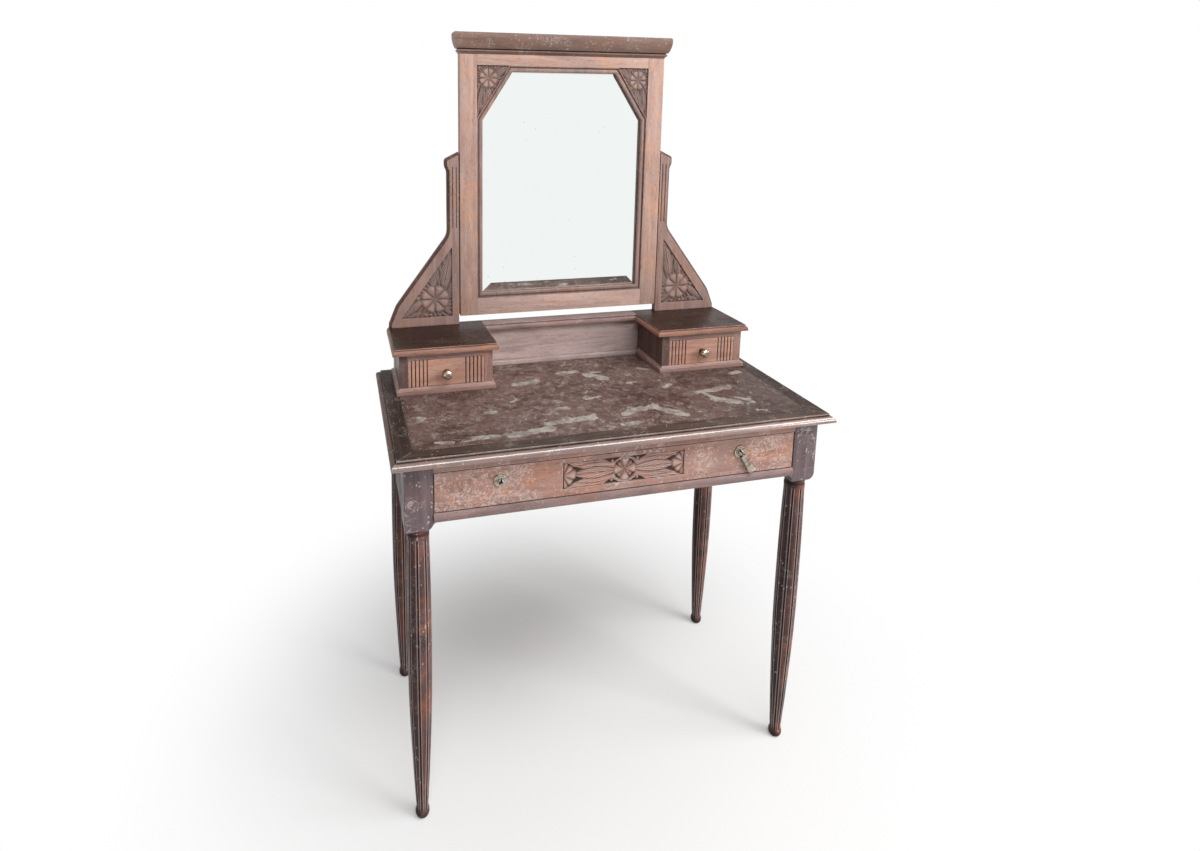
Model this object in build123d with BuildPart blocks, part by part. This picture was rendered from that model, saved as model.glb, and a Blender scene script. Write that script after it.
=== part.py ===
from build123d import *
import os
from math import cos, radians, sin
from typing import NamedTuple

# A poudreuse: a small dressing table on four turned and fluted legs. A marble
# slab lies in its moulded top, a drawer runs in its front apron, and two small
# drawer cabinets stand at the back of it. A shelf joins the cabinets, and two
# brackets on them carry a tilting mirror.
#
# Millimetres. X runs to the right of someone sitting at it, Y to the back and
# Z up. The origin is on the floor, under the middle of the table.

os.makedirs("parts", exist_ok=True)

quarter_turn = 90  # degrees, the arc of every cove and ovolo

# --- Driving dimensions -----------------------------------------------------

# Fits
running_gap = 0.3  # between a moving piece and what carries it
drawer_side_gap = 0.6  # at each end of a drawer front
bore_gap = 0.08  # radial, a pin in its bore
joinery_gap = 0.15  # a tenon in its mortise, all round
marble_gap = 0.5  # round the marble

# Table
table_width = 846.0  # over the moulded edges
table_depth = 444.0
table_height = 740.0
top_thickness = 15.0
top_frame_width = 30.0  # from the arris to the marble
bed_thickness = 12.0  # board under the marble

# Legs and apron
leg_inset_x = 22.0  # from the moulded edge to the leg block
leg_inset_y = 24.0
leg_block_width = 50.0
leg_block_depth = 48.0
leg_block_height = 127.0
leg_block_round = 14.0  # lower right-hand corner of the block
leg_neck_radius = 19.8  # under the block
leg_neck_height = 4.0  # plain ring under the block
leg_belly_radius = 22.4
leg_belly_z = 365.0
leg_thigh_radius = 20.6
leg_thigh_z = 230.0
leg_shin_radius = 16.5
leg_shin_z = 120.0
ankle_radius = 10.9
ankle_z = 23.0
foot_radius = 12.6  # bulb at the end of the leg
foot_z = 11.0
foot_rest_radius = 8.0  # flat that stands on the floor
apron_thickness = 20.0
apron_reveal = 0.5  # how far an apron lies behind the leg blocks
side_apron_height = 126.0
tenon_thickness = 8.0
tenon_length = 18.0
tenon_shoulder = 8.0  # left at each end of a tall tenon
rail_tenon_shoulder = 4.0
top_rail_height = 21.5
drawer_opening_height = 75.0
bead_height = 17.0  # half-round rail under the drawer
bead_projection = 3.0  # in front of the leg blocks
bead_rail_depth = 32.0
bead_sweep = 5.0  # curve that joins the bead rail to a leg block

# Apron drawer
drawer_reveal = 1.4  # how far the drawer front lies behind the leg blocks
drawer_front_thickness = 20.0
drawer_length = 300.0  # box behind the front
drawer_side_height = 60.0
drawer_side_thickness = 10.0
drawer_side_inset = 6.0  # from the end of the front to the side
drawer_back_thickness = 10.0
drawer_bottom_thickness = 6.0
drawer_bottom_rise = 6.0  # underside of the bottom above the sides' lower edge
runner_width = 26.0
guide_height = 20.0
guide_gap = 0.8
kicker_width = 20.0
kicker_gap = 1.0  # above the drawer's sides, and behind its front

# Drawer pulls
pull_inset = 116.9  # from the end of the drawer front
pull_rise = 46.7  # above the drawer's lower edge
pull_turn = 33.0  # degrees that the right-hand pull has turned on its bolt
rosette_radius = 11.5
rosette_plate = 2.0
rosette_step_radius = 8.3
rosette_step = 1.0
rosette_boss_radius = 5.6
rosette_boss = 5.2
rosette_round = 1.8
rosette_slot_width = 3.2
rosette_bolt_radius = 2.0
pull_axis_height = 5.6  # hinge pin above the drawer front
pull_pin_radius = 0.9
pull_pin_length = 8.0
pull_tongue_width = 2.6
pull_tongue_thickness = 2.4
pull_eye_radius = 2.2
pull_neck = 8.2  # from the hinge pin to the drop
pull_length = 49.0
pull_top_width = 10.5
pull_end_width = 15.0
pull_thickness = 3.2
pull_lip_length = 4.0
pull_lip_rise = 1.8

# Small cabinets
cabinet_height = 97.0
case_inset = 29.3  # from the table's arris to the case
case_width = 192.5
case_depth = 132.0
case_side_thickness = 17.0
case_rail_height = 13.0
case_rail_depth = 22.0
plinth_projection = 6.5
plinth_face_height = 9.0
plinth_height = 14.0
cabinet_top_thickness = 13.0
cabinet_top_overhang = 8.75  # at the sides, to the arris
cabinet_top_front = 3.5  # at the front, to the arris
back_thickness = 16.0
back_setback = 12.0  # from the table's back edge to the back board
shelf_depth = 34.0  # from its arris to the table's back edge
skirting_thickness = 11.0

# Small drawers
small_front_thickness = 14.0
small_side_height = 44.0
small_side_thickness = 7.0
small_side_inset = 1.0
small_bottom_thickness = 4.0
small_bottom_rise = 3.0
small_back_gap = 4.0
knob_rose_radius = 6.5
knob_rose = 2.0
knob_stem_radius = 3.2
knob_stem = 8.0
knob_radius = 9.2
knob_length = 13.0
knob_facets = 8
knob_bevel = 3.0
knob_bolt_radius = 2.2
knob_rise = -1.0  # knob above the middle of the drawer front

# Mirror brackets
bracket_height = 384.0
bracket_width = 155.0
bracket_thickness = 16.0
bracket_setback = 2.0  # from the table's back edge
bracket_overhang = 8.0  # foot beyond the case
bracket_toe = 8.0  # upright edge at the outer end of the foot
bracket_calf_run = 16.0  # from the outer end of the foot to the straight slope
bracket_calf_rise = 48.0
post_width = 25.0
post_shoulder_drop = 15.0  # outer corner of the ear below the post's top
post_ear = 5.0  # ear beyond the post
post_ear_height = 16.0
post_ear_curve = 10.0
post_bend_rise = 203.0  # where the post flares into the foot
bend_radius = 36.0
calf_radius = 60.0
ear_radius = 20.0
shoulder_radius = 8.0
bracket_bevel = 5.5
carving_inner = 15.5  # from the inner edge of the bracket to the carved field
carving_bottom = 20.0
carving_width = 112.0
carving_height = 156.0
carving_depth = 4.0
post_groove_width = 2.6
post_groove_depth = 1.6
post_groove_rise = 219.0  # above the bracket's foot
post_groove_drop = 32.0  # below the post's top
post_groove_inner = 5.4  # from the inner edge to the first groove
post_groove_pitch = 8.2

# Mirror
mirror_side_gap = 2.5  # between the frame and a bracket
mirror_clearance = 19.0  # between the frame and the shelf
mirror_height = 572.0  # under the cornice
mirror_thickness = 20.0
stile_width = 41.0
bottom_rail_width = 40.7
mirror_top_rail_width = 26.0
lip_width = 10.0  # moulded edge that holds the glass
lip_thickness = 8.0
corner_run = 66.0  # cut-off corner along the top rail
corner_drop = 103.0  # and down the stile
glass_thickness = 4.0
glass_cover = 8.0  # glass hidden behind the lip
backboard_thickness = 5.0
cornice_height = 44.0
cornice_projection = 13.0
cornice_nose = 8.0  # radius of its rounded upper edge
cornice_cove = 17.0  # height of the hollow under the nose
cornice_fillet = 3.0
cornice_fillet_projection = 7.5
cornice_quirk = 3.0
cornice_bead = 2.6  # projection of the bead under the cornice
cornice_bead_height = 6.0
mirror_tenon_thickness = 6.0
mirror_tenon_length = 25.0
pivot_rise = 271.0  # above the frame's lower edge
pivot_radius = 3.0
pivot_in_stile = 14.0
pivot_in_post = 12.0
pivot_collar_radius = 6.5


class MouldedEdge(NamedTuple):
    """A moulded edge, down from the arris: a fillet, a quirk, an ovolo and a foot."""

    fillet: float
    quirk: float
    flare: float
    foot: float


table_edge = MouldedEdge(fillet=2.5, quirk=1.5, flare=9.7, foot=2.5)
cabinet_edge = MouldedEdge(fillet=2.0, quirk=1.0, flare=4.5, foot=2.5)

# --- Derived sizes ----------------------------------------------------------

arris_x = table_width / 2 - table_edge.flare
arris_y = table_depth / 2 - table_edge.flare
back_y = table_depth / 2
marble_x = arris_x - top_frame_width
marble_y = arris_y - top_frame_width
rail_top = table_height - top_thickness

block_outer_x = table_width / 2 - leg_inset_x
block_inner_x = block_outer_x - leg_block_width
block_outer_y = table_depth / 2 - leg_inset_y
block_inner_y = block_outer_y - leg_block_depth
leg_x = (block_outer_x + block_inner_x) / 2
leg_y = (block_outer_y + block_inner_y) / 2
block_bottom = rail_top - leg_block_height

apron_outer_x = block_outer_x - apron_reveal
apron_inner_x = apron_outer_x - apron_thickness
apron_outer_y = block_outer_y - apron_reveal
apron_inner_y = apron_outer_y - apron_thickness
top_rail_bottom = rail_top - top_rail_height
drawer_sill = top_rail_bottom - drawer_opening_height
bead_bottom = drawer_sill - bead_height
bead_rail_back = -block_outer_y + bead_rail_depth

drawer_face_y = -block_outer_y + drawer_reveal
drawer_box_front = drawer_face_y + drawer_front_thickness
drawer_box_back = drawer_box_front + drawer_length
drawer_half = block_inner_x - drawer_side_gap
drawer_side_outer = drawer_half - drawer_side_inset
drawer_side_inner = drawer_side_outer - drawer_side_thickness
drawer_low = drawer_sill + running_gap
pull_x = drawer_half - pull_inset
pull_z = drawer_low + pull_rise
drawer_side_top = drawer_low + drawer_side_height
bed_bottom = rail_top - bed_thickness

case_outer_x = arris_x - case_inset
case_inner_x = case_outer_x - case_width
case_centre_x = case_outer_x - case_width / 2
case_back_y = back_y - back_setback - back_thickness
case_front_y = case_back_y - case_depth
shelf_front_y = back_y - shelf_depth
skirting_front_y = case_back_y - skirting_thickness
cabinet_top_z = table_height + cabinet_height
case_top = cabinet_top_z - cabinet_top_thickness
case_floor = table_height + plinth_height
case_rail_bottom = case_top - case_rail_height
case_bay = (case_inner_x + case_side_thickness, case_outer_x - case_side_thickness)

bracket_foot_x = case_outer_x + bracket_overhang
bracket_inner_x = bracket_foot_x - bracket_width
bracket_front_y = back_y - bracket_setback - bracket_thickness
bracket_calf_x = bracket_foot_x - bracket_calf_run
bracket_calf_z = cabinet_top_z + bracket_calf_rise
post_outer_x = bracket_inner_x + post_width
post_top_z = cabinet_top_z + bracket_height
post_shoulder_z = post_top_z - post_shoulder_drop
post_bend_z = cabinet_top_z + post_bend_rise
post_groove_bottom = cabinet_top_z + post_groove_rise
post_groove_top = post_top_z - post_groove_drop

mirror_half_width = bracket_inner_x - mirror_side_gap
mirror_bottom = cabinet_top_z + mirror_clearance
mirror_frame_top = mirror_bottom + mirror_height
pivot_z = mirror_bottom + pivot_rise
pivot_y = bracket_front_y + bracket_thickness / 2
mirror_front = pivot_y - mirror_thickness / 2
mirror_back = pivot_y + mirror_thickness / 2
stile_inner = mirror_half_width - stile_width
sight_x = stile_inner - lip_width
rail_bottom_top = mirror_bottom + bottom_rail_width
sight_bottom = rail_bottom_top + lip_width
rail_top_bottom = mirror_frame_top - mirror_top_rail_width
sight_top = rail_top_bottom - lip_width
glass_front = mirror_front + lip_thickness


# --- Helpers ----------------------------------------------------------------


def save(piece, name):
    """Name a finished piece and write it as a STEP file of its own."""
    piece.part.label = name
    export_step(piece.part, f"parts/{name}.step")


def span(side, near, far):
    """The limits along X of something between near and far, on one side."""
    return tuple(sorted((side * near, side * far)))


def add_box(x, y, z, mode=Mode.ADD):
    """Inside a BuildPart: a block between the given limits."""
    with Locations((sum(x) / 2, sum(y) / 2, sum(z) / 2)):
        Box(x[1] - x[0], y[1] - y[0], z[1] - z[0], mode=mode)


def board(name, x, y, z):
    """A plain board between the given limits, as a node of its own."""
    with BuildPart() as piece:
        add_box(x, y, z)
    save(piece, name)


def grown(limits, gap):
    """Limits moved outward by gap at both ends."""
    return (limits[0] - gap, limits[1] + gap)


def moulded_side(arris, out, top, bottom, edge):
    """Inside a BuildLine: a moulded edge from the arris down to the underside."""
    quirk_foot = (arris - out * edge.quirk, top - edge.fillet - edge.quirk)
    nose = (arris + out * edge.flare, bottom + edge.foot)
    start = 0 if out > 0 else quarter_turn
    Polyline((arris, top), (arris, top - edge.fillet), quirk_foot)
    EllipticalCenterArc(
        center=(quirk_foot[0], nose[1]),
        x_radius=edge.quirk + edge.flare,
        y_radius=quirk_foot[1] - nose[1],
        start_angle=start,
        arc_size=quarter_turn,
    )
    Line(nose, (nose[0], bottom))
    return nose[0]


def slab_section(limits, top, bottom, edge, far_moulded):
    """Inside a BuildSketch: a slab's section, moulded at one or both ends."""
    low, high = limits
    with BuildLine() as outline:
        foot_low = moulded_side(low, -1, top, bottom, edge)
        if far_moulded:
            foot_high = moulded_side(high, 1, top, bottom, edge)
        else:
            foot_high = high
            Line((high, top), (high, bottom))
        Line((low, top), (high, top))
        Line((foot_low, bottom), (foot_high, bottom))
    make_face(outline.edges())


def add_slab(x, y, top, bottom, edge, moulded_back):
    """Inside a BuildPart: a slab with its arrises at x and y, mitred at the corners."""
    with BuildSketch(Plane.XZ) as across:
        slab_section(x, top, bottom, edge, True)
    extrude(across.sketch, amount=table_width, both=True)
    with BuildSketch(Plane.YZ) as along:
        slab_section(y, top, bottom, edge, moulded_back)
    extrude(along.sketch, amount=table_width, both=True, mode=Mode.INTERSECT)


# --- Tenons, shared by the aprons and the leg blocks ------------------------


def cross_tenon(side, y, z):
    """Limits of a tenon that runs along X into a leg block."""
    middle = sum(y) / 2
    cheeks = (middle - tenon_thickness / 2, middle + tenon_thickness / 2)
    return span(side, block_inner_x, block_inner_x + tenon_length), cheeks, z


def side_tenon(side, end):
    """Limits of a side apron's tenon, which runs along Y into a leg block."""
    middle = (apron_inner_x + apron_outer_x) / 2
    cheeks = span(side, middle - tenon_thickness / 2, middle + tenon_thickness / 2)
    low = rail_top - side_apron_height + tenon_shoulder
    run = span(end, block_inner_y, block_inner_y + tenon_length)
    return cheeks, run, (low, rail_top - tenon_shoulder)


def back_tenon(side):
    y = (apron_inner_y, apron_outer_y)
    low = rail_top - side_apron_height + tenon_shoulder
    return cross_tenon(side, y, (low, rail_top - tenon_shoulder))


def top_rail_tenon(side):
    y = (-apron_outer_y, -apron_inner_y)
    z = (top_rail_bottom + rail_tenon_shoulder, rail_top - rail_tenon_shoulder)
    return cross_tenon(side, y, z)


def bead_rail_tenon(side):
    y = (-apron_outer_y, bead_rail_back)
    z = (bead_bottom + rail_tenon_shoulder, drawer_sill - rail_tenon_shoulder)
    return cross_tenon(side, y, z)


# --- Legs -------------------------------------------------------------------


def leg(name, side, end):
    """A square block with a turned shaft below it, swelling and then tapering."""
    x = side * leg_x
    y = end * leg_y
    neck_z = block_bottom - leg_neck_height
    neck_top = block_bottom + leg_block_round  # behind the block's rounded corner
    with BuildPart() as piece:
        add_box(
            span(side, block_inner_x, block_outer_x),
            span(end, block_inner_y, block_outer_y),
            (block_bottom, rail_top),
        )
        low_edges = piece.edges().filter_by(Axis.Y).group_by(Axis.Z)[0]
        fillet(low_edges.sort_by(Axis.X)[-1], radius=leg_block_round)
        with BuildSketch(Plane.XZ.offset(-y)):
            with BuildLine():
                Polyline((x, 0), (x + foot_rest_radius, 0))
                ThreePointArc((x + foot_rest_radius, 0), (x + foot_radius, foot_z), (x + ankle_radius, ankle_z))
                Spline(
                    (x + ankle_radius, ankle_z),
                    (x + leg_shin_radius, leg_shin_z),
                    (x + leg_thigh_radius, leg_thigh_z),
                    (x + leg_belly_radius, leg_belly_z),
                    (x + leg_neck_radius, neck_z),
                )
                Polyline(
                    (x + leg_neck_radius, neck_z),
                    (x + leg_neck_radius, neck_top),
                    (x, neck_top),
                    (x, 0),
                )
            make_face()
        revolve(axis=Axis((x, y, 0), (0, 0, 1)))
        mortises = [side_tenon(side, end)]
        if end > 0:
            mortises.append(back_tenon(side))
        else:
            mortises.extend([top_rail_tenon(side), bead_rail_tenon(side)])
        for tenon in mortises:
            add_box(*[grown(limits, joinery_gap) for limits in tenon], mode=Mode.SUBTRACT)
    save(piece, name)


for side, hand in ((-1, "left"), (1, "right")):
    leg(f"front_{hand}_leg", side, -1)
    leg(f"back_{hand}_leg", side, 1)


# --- Aprons and rails -------------------------------------------------------

for side, hand in ((-1, "left"), (1, "right")):
    with BuildPart() as side_apron:
        add_box(
            span(side, apron_inner_x, apron_outer_x),
            (-block_inner_y, block_inner_y),
            (rail_top - side_apron_height, rail_top),
        )
        for end in (-1, 1):
            add_box(*side_tenon(side, end))
    save(side_apron, f"{hand}_apron")

with BuildPart() as back_apron:
    add_box(
        (-block_inner_x, block_inner_x),
        (apron_inner_y, apron_outer_y),
        (rail_top - side_apron_height, rail_top),
    )
    for side in (-1, 1):
        add_box(*back_tenon(side))
save(back_apron, "back_apron")

with BuildPart() as front_top_rail:
    add_box(
        (-block_inner_x, block_inner_x),
        (-apron_outer_y, -apron_inner_y),
        (top_rail_bottom, rail_top),
    )
    for side in (-1, 1):
        add_box(*top_rail_tenon(side))
save(front_top_rail, "front_top_rail")

# The rail under the drawer: a half-round front edge, and an underside that
# sweeps down to each leg block.
with BuildPart() as front_bead_rail:
    sweep_foot = bead_bottom - bead_sweep
    with BuildSketch(Plane.XZ.offset(apron_outer_y)):
        with BuildLine():
            Line((-block_inner_x, drawer_sill), (block_inner_x, drawer_sill))
            for side in (-1, 1):
                end_x = side * block_inner_x
                turn_x = side * (block_inner_x - bead_sweep)
                hollow = (
                    turn_x + side * bead_sweep * sin(radians(45)),
                    sweep_foot + bead_sweep * sin(radians(45)),
                )
                Line((end_x, drawer_sill), (end_x, sweep_foot))
                ThreePointArc((end_x, sweep_foot), hollow, (turn_x, bead_bottom))
            Line(
                (-block_inner_x + bead_sweep, bead_bottom),
                (block_inner_x - bead_sweep, bead_bottom),
            )
        make_face()
    extrude(amount=-(bead_rail_depth - apron_reveal))
    nose_y = -block_outer_y - bead_projection
    with BuildSketch(Plane.YZ.offset(-block_inner_x)):
        with BuildLine():
            ThreePointArc(
                (-apron_outer_y, drawer_sill),
                (nose_y, (drawer_sill + bead_bottom) / 2),
                (-apron_outer_y, bead_bottom),
            )
            Line((-apron_outer_y, bead_bottom), (-apron_outer_y, drawer_sill))
        make_face()
    extrude(amount=2 * block_inner_x)
    for side in (-1, 1):
        add_box(*bead_rail_tenon(side))
save(front_bead_rail, "front_bead_rail")

# Each runner carries one side of the drawer. Its guide strip, screwed to the
# side apron between the leg blocks, keeps the drawer straight.
for side, hand in ((-1, "left"), (1, "right")):
    runner_outer = block_inner_x - joinery_gap
    with BuildPart() as runner:
        add_box(
            span(side, runner_outer - runner_width, runner_outer),
            (bead_rail_back, apron_inner_y),
            (bead_bottom, drawer_sill),
        )
        add_box(
            span(side, runner_outer, apron_inner_x),
            (-block_inner_y + joinery_gap, block_inner_y - joinery_gap),
            (bead_bottom, drawer_sill + guide_height),
        )
        add_box(
            span(side, drawer_side_outer + guide_gap, runner_outer),
            (-block_inner_y + joinery_gap, block_inner_y - joinery_gap),
            (drawer_sill, drawer_sill + guide_height),
        )
    save(runner, f"{hand}_drawer_runner")

# Two strips under the marble bed stop the open drawer from tipping.
with BuildPart() as drawer_kickers:
    for side in (-1, 1):
        add_box(
            span(side, drawer_side_outer - kicker_width, drawer_side_outer),
            (drawer_box_front + kicker_gap, apron_inner_y),
            (drawer_side_top + kicker_gap, bed_bottom),
        )
save(drawer_kickers, "drawer_kickers")


# --- Top: moulded frame, marble and the board under it ----------------------


def mitre(x, y, across_x, across_y):
    """The upright plane through a corner of the top, facing the member it keeps."""
    return Plane(origin=(x, y, rail_top), x_dir=(0, 0, 1), z_dir=(across_x, across_y, 0))


def top_member(name, x, y, along_x, across):
    """One moulded member of the frame round the marble, mitred at both ends."""
    with BuildPart() as member:
        add_slab((-arris_x, arris_x), (-arris_y, arris_y), table_height, rail_top, table_edge, True)
        add_box(x, y, (rail_top, table_height), mode=Mode.INTERSECT)
        for end in (-1, 1):
            if along_x:
                corner = mitre(end * arris_x, across * arris_y, -end, across)
            else:
                corner = mitre(across * arris_x, end * arris_y, across, -end)
            split(bisect_by=corner, keep=Keep.TOP)
    save(member, name)


whole_x = (-table_width / 2, table_width / 2)
whole_y = (-table_depth / 2, table_depth / 2)
top_member("top_front_edge", whole_x, (-table_depth / 2, -marble_y), True, -1)
top_member("top_back_edge", whole_x, (marble_y, table_depth / 2), True, 1)
top_member("top_left_edge", (-table_width / 2, -marble_x), whole_y, False, -1)
top_member("top_right_edge", (marble_x, table_width / 2), whole_y, False, 1)

board(
    "marble_top",
    (-marble_x + marble_gap, marble_x - marble_gap),
    (-marble_y + marble_gap, marble_y - marble_gap),
    (rail_top, table_height),
)

with BuildPart() as marble_bed:
    with BuildSketch(Plane.XY.offset(bed_bottom)):
        Rectangle(2 * (apron_inner_x - joinery_gap), 2 * (block_inner_y - joinery_gap))
        Rectangle(2 * (block_inner_x - joinery_gap), 2 * (apron_inner_y - joinery_gap))
    extrude(amount=bed_thickness)
save(marble_bed, "marble_bed")


# --- Apron drawer -----------------------------------------------------------


def pull_plane(side, turn):
    """Plane on the drawer face: Z towards the sitter, X along the pull's hinge."""
    angle = radians(turn)
    return Plane(
        origin=(side * pull_x, drawer_face_y, pull_z),
        x_dir=(cos(angle), 0, sin(angle)),
        z_dir=(0, -1, 0),
    )


with BuildPart() as drawer_front:
    add_box(
        (-drawer_half, drawer_half),
        (drawer_face_y, drawer_box_front),
        (drawer_low, top_rail_bottom - drawer_side_gap),
    )
    for side in (-1, 1):
        with BuildSketch(pull_plane(side, 0)):
            Circle(rosette_bolt_radius + bore_gap)
        extrude(amount=-drawer_front_thickness, mode=Mode.SUBTRACT)
save(drawer_front, "drawer_front")

for side, hand in ((-1, "left"), (1, "right")):
    board(
        f"drawer_{hand}_side",
        span(side, drawer_side_inner, drawer_side_outer),
        (drawer_box_front, drawer_box_back),
        (drawer_low, drawer_side_top),
    )
board(
    "drawer_back",
    (-drawer_side_inner, drawer_side_inner),
    (drawer_box_back - drawer_back_thickness, drawer_box_back),
    (drawer_low + drawer_bottom_rise, drawer_side_top),
)
board(
    "drawer_bottom",
    (-drawer_side_inner, drawer_side_inner),
    (drawer_box_front, drawer_box_back - drawer_back_thickness),
    (drawer_low + drawer_bottom_rise, drawer_low + drawer_bottom_rise + drawer_bottom_thickness),
)


def rosette(name, side, turn):
    """A stepped brass plate with a slotted boss, bolted through the drawer front."""
    face = pull_plane(side, turn)
    step_height = rosette_plate + rosette_step
    with BuildPart() as piece:
        with BuildSketch(face):
            Circle(rosette_radius)
        extrude(amount=rosette_plate)
        with BuildSketch(face.offset(rosette_plate)):
            Circle(rosette_step_radius)
        extrude(amount=rosette_step)
        with BuildSketch(face.offset(step_height)):
            Circle(rosette_boss_radius)
        extrude(amount=rosette_boss)
        fillet(piece.edges().group_by(Axis.Y)[0], radius=rosette_round)
        with BuildSketch(face):
            Circle(rosette_bolt_radius)
        extrude(amount=-drawer_front_thickness)
        with BuildSketch(face.offset(step_height)):
            Rectangle(rosette_slot_width, 2 * rosette_boss_radius)
        extrude(amount=rosette_boss, mode=Mode.SUBTRACT)
        pin_plane = Plane(
            origin=face.from_local_coords(Vector(0, 0, pull_axis_height)),
            x_dir=face.z_dir,
            z_dir=face.x_dir,
        )
        with BuildSketch(pin_plane):
            Circle(pull_pin_radius + bore_gap)
        extrude(amount=rosette_boss_radius, both=True, mode=Mode.SUBTRACT)
    save(piece, name)


rosette("left_rosette", -1, 0)
rosette("right_rosette", 1, pull_turn)

# The drop: a tongue in the rosette's slot on its own pin, and a flat bar that
# widens to a thick lip.
with BuildPart() as drop_pull:
    hang = pull_plane(1, pull_turn)
    pin_middle = hang.from_local_coords(Vector(0, 0, pull_axis_height))
    pin_plane = Plane(origin=pin_middle, x_dir=hang.z_dir, z_dir=hang.x_dir)
    bar_plane = hang.offset(pull_axis_height - pull_thickness / 2)
    with BuildSketch(pin_plane):
        Circle(pull_pin_radius)
    extrude(amount=pull_pin_length / 2, both=True)
    with BuildSketch(pin_plane):
        Circle(pull_eye_radius)
    extrude(amount=pull_tongue_width / 2, both=True)
    with BuildSketch(hang.offset(pull_axis_height - pull_tongue_thickness / 2)):
        with Locations((0, -pull_neck / 2)):
            Rectangle(pull_tongue_width, pull_neck)
    extrude(amount=pull_tongue_thickness)
    with BuildSketch(bar_plane):
        with BuildLine():
            Polyline(
                (-pull_top_width / 2, -pull_neck),
                (pull_top_width / 2, -pull_neck),
                (pull_end_width / 2, -pull_length),
                (-pull_end_width / 2, -pull_length),
                close=True,
            )
        make_face()
    extrude(amount=pull_thickness)
    with BuildSketch(bar_plane.offset(-pull_lip_rise)):
        with Locations((0, -pull_length + pull_lip_length / 2)):
            Rectangle(pull_end_width, pull_lip_length)
    extrude(amount=pull_thickness + 2 * pull_lip_rise)
save(drop_pull, "drop_pull")


# --- Small cabinets ---------------------------------------------------------


def plinth_section(limits, far_projects):
    """Inside a BuildSketch: an upright face, then a cove that meets the case."""
    low, high = limits
    cove = plinth_height - plinth_face_height
    low_face = low - plinth_projection
    high_face = high + plinth_projection if far_projects else high
    face_top = table_height + plinth_face_height
    with BuildLine() as outline:
        Line((low_face, table_height), (high_face, table_height))
        Line((low_face, table_height), (low_face, face_top))
        EllipticalCenterArc(
            center=(low_face, case_floor),
            x_radius=plinth_projection,
            y_radius=cove,
            start_angle=3 * quarter_turn,
            arc_size=quarter_turn,
        )
        Line((low, case_floor), (high, case_floor))
        if far_projects:
            EllipticalCenterArc(
                center=(high_face, case_floor),
                x_radius=plinth_projection,
                y_radius=cove,
                start_angle=2 * quarter_turn,
                arc_size=quarter_turn,
            )
            Line((high_face, face_top), (high_face, table_height))
        else:
            Line((high, case_floor), (high, table_height))
    make_face(outline.edges())


def cabinet(side, hand):
    """A case of boards on a coved plinth, under a moulded top."""
    outer = span(side, case_inner_x, case_outer_x)
    with BuildPart() as base:
        with BuildSketch(Plane.XZ):
            plinth_section(outer, True)
        extrude(amount=table_depth, both=True)
        with BuildSketch(Plane.YZ):
            plinth_section((case_front_y, case_back_y), False)
        extrude(amount=table_width, both=True, mode=Mode.INTERSECT)
    save(base, f"{hand}_cabinet_base")

    for place, near in (
        ("inner", case_inner_x),
        ("outer", case_outer_x - case_side_thickness),
    ):
        board(
            f"{hand}_cabinet_{place}_side",
            span(side, near, near + case_side_thickness),
            (case_front_y, case_back_y),
            (case_floor, case_top),
        )
    board(
        f"{hand}_cabinet_rail",
        span(side, *case_bay),
        (case_front_y, case_front_y + case_rail_depth),
        (case_rail_bottom, case_top),
    )
    with BuildPart() as top:
        add_slab(
            span(side, case_inner_x - cabinet_top_overhang, case_outer_x + cabinet_top_overhang),
            (case_front_y - cabinet_top_front, back_y),
            cabinet_top_z,
            case_top,
            cabinet_edge,
            False,
        )
    save(top, f"{hand}_cabinet_top")
    return top


left_top = cabinet(-1, "left")
right_top = cabinet(1, "right")

board(
    "superstructure_back",
    (-case_outer_x, case_outer_x),
    (case_back_y, case_back_y + back_thickness),
    (table_height, case_top),
)

# The shelf is coped to the moulded edges of the two cabinet tops.
with BuildPart() as mirror_shelf:
    shelf_half = case_inner_x - cabinet_top_overhang
    with BuildSketch(Plane.YZ.offset(-shelf_half)):
        slab_section((shelf_front_y, back_y), cabinet_top_z, case_top, cabinet_edge, False)
    extrude(amount=2 * shelf_half)
    add(left_top.part, mode=Mode.SUBTRACT)
    add(right_top.part, mode=Mode.SUBTRACT)
save(mirror_shelf, "mirror_shelf")

board(
    "back_skirting",
    (-case_inner_x + plinth_projection, case_inner_x - plinth_projection),
    (skirting_front_y, case_back_y),
    (table_height, table_height + plinth_face_height),
)


# --- Small drawers ----------------------------------------------------------


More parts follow.
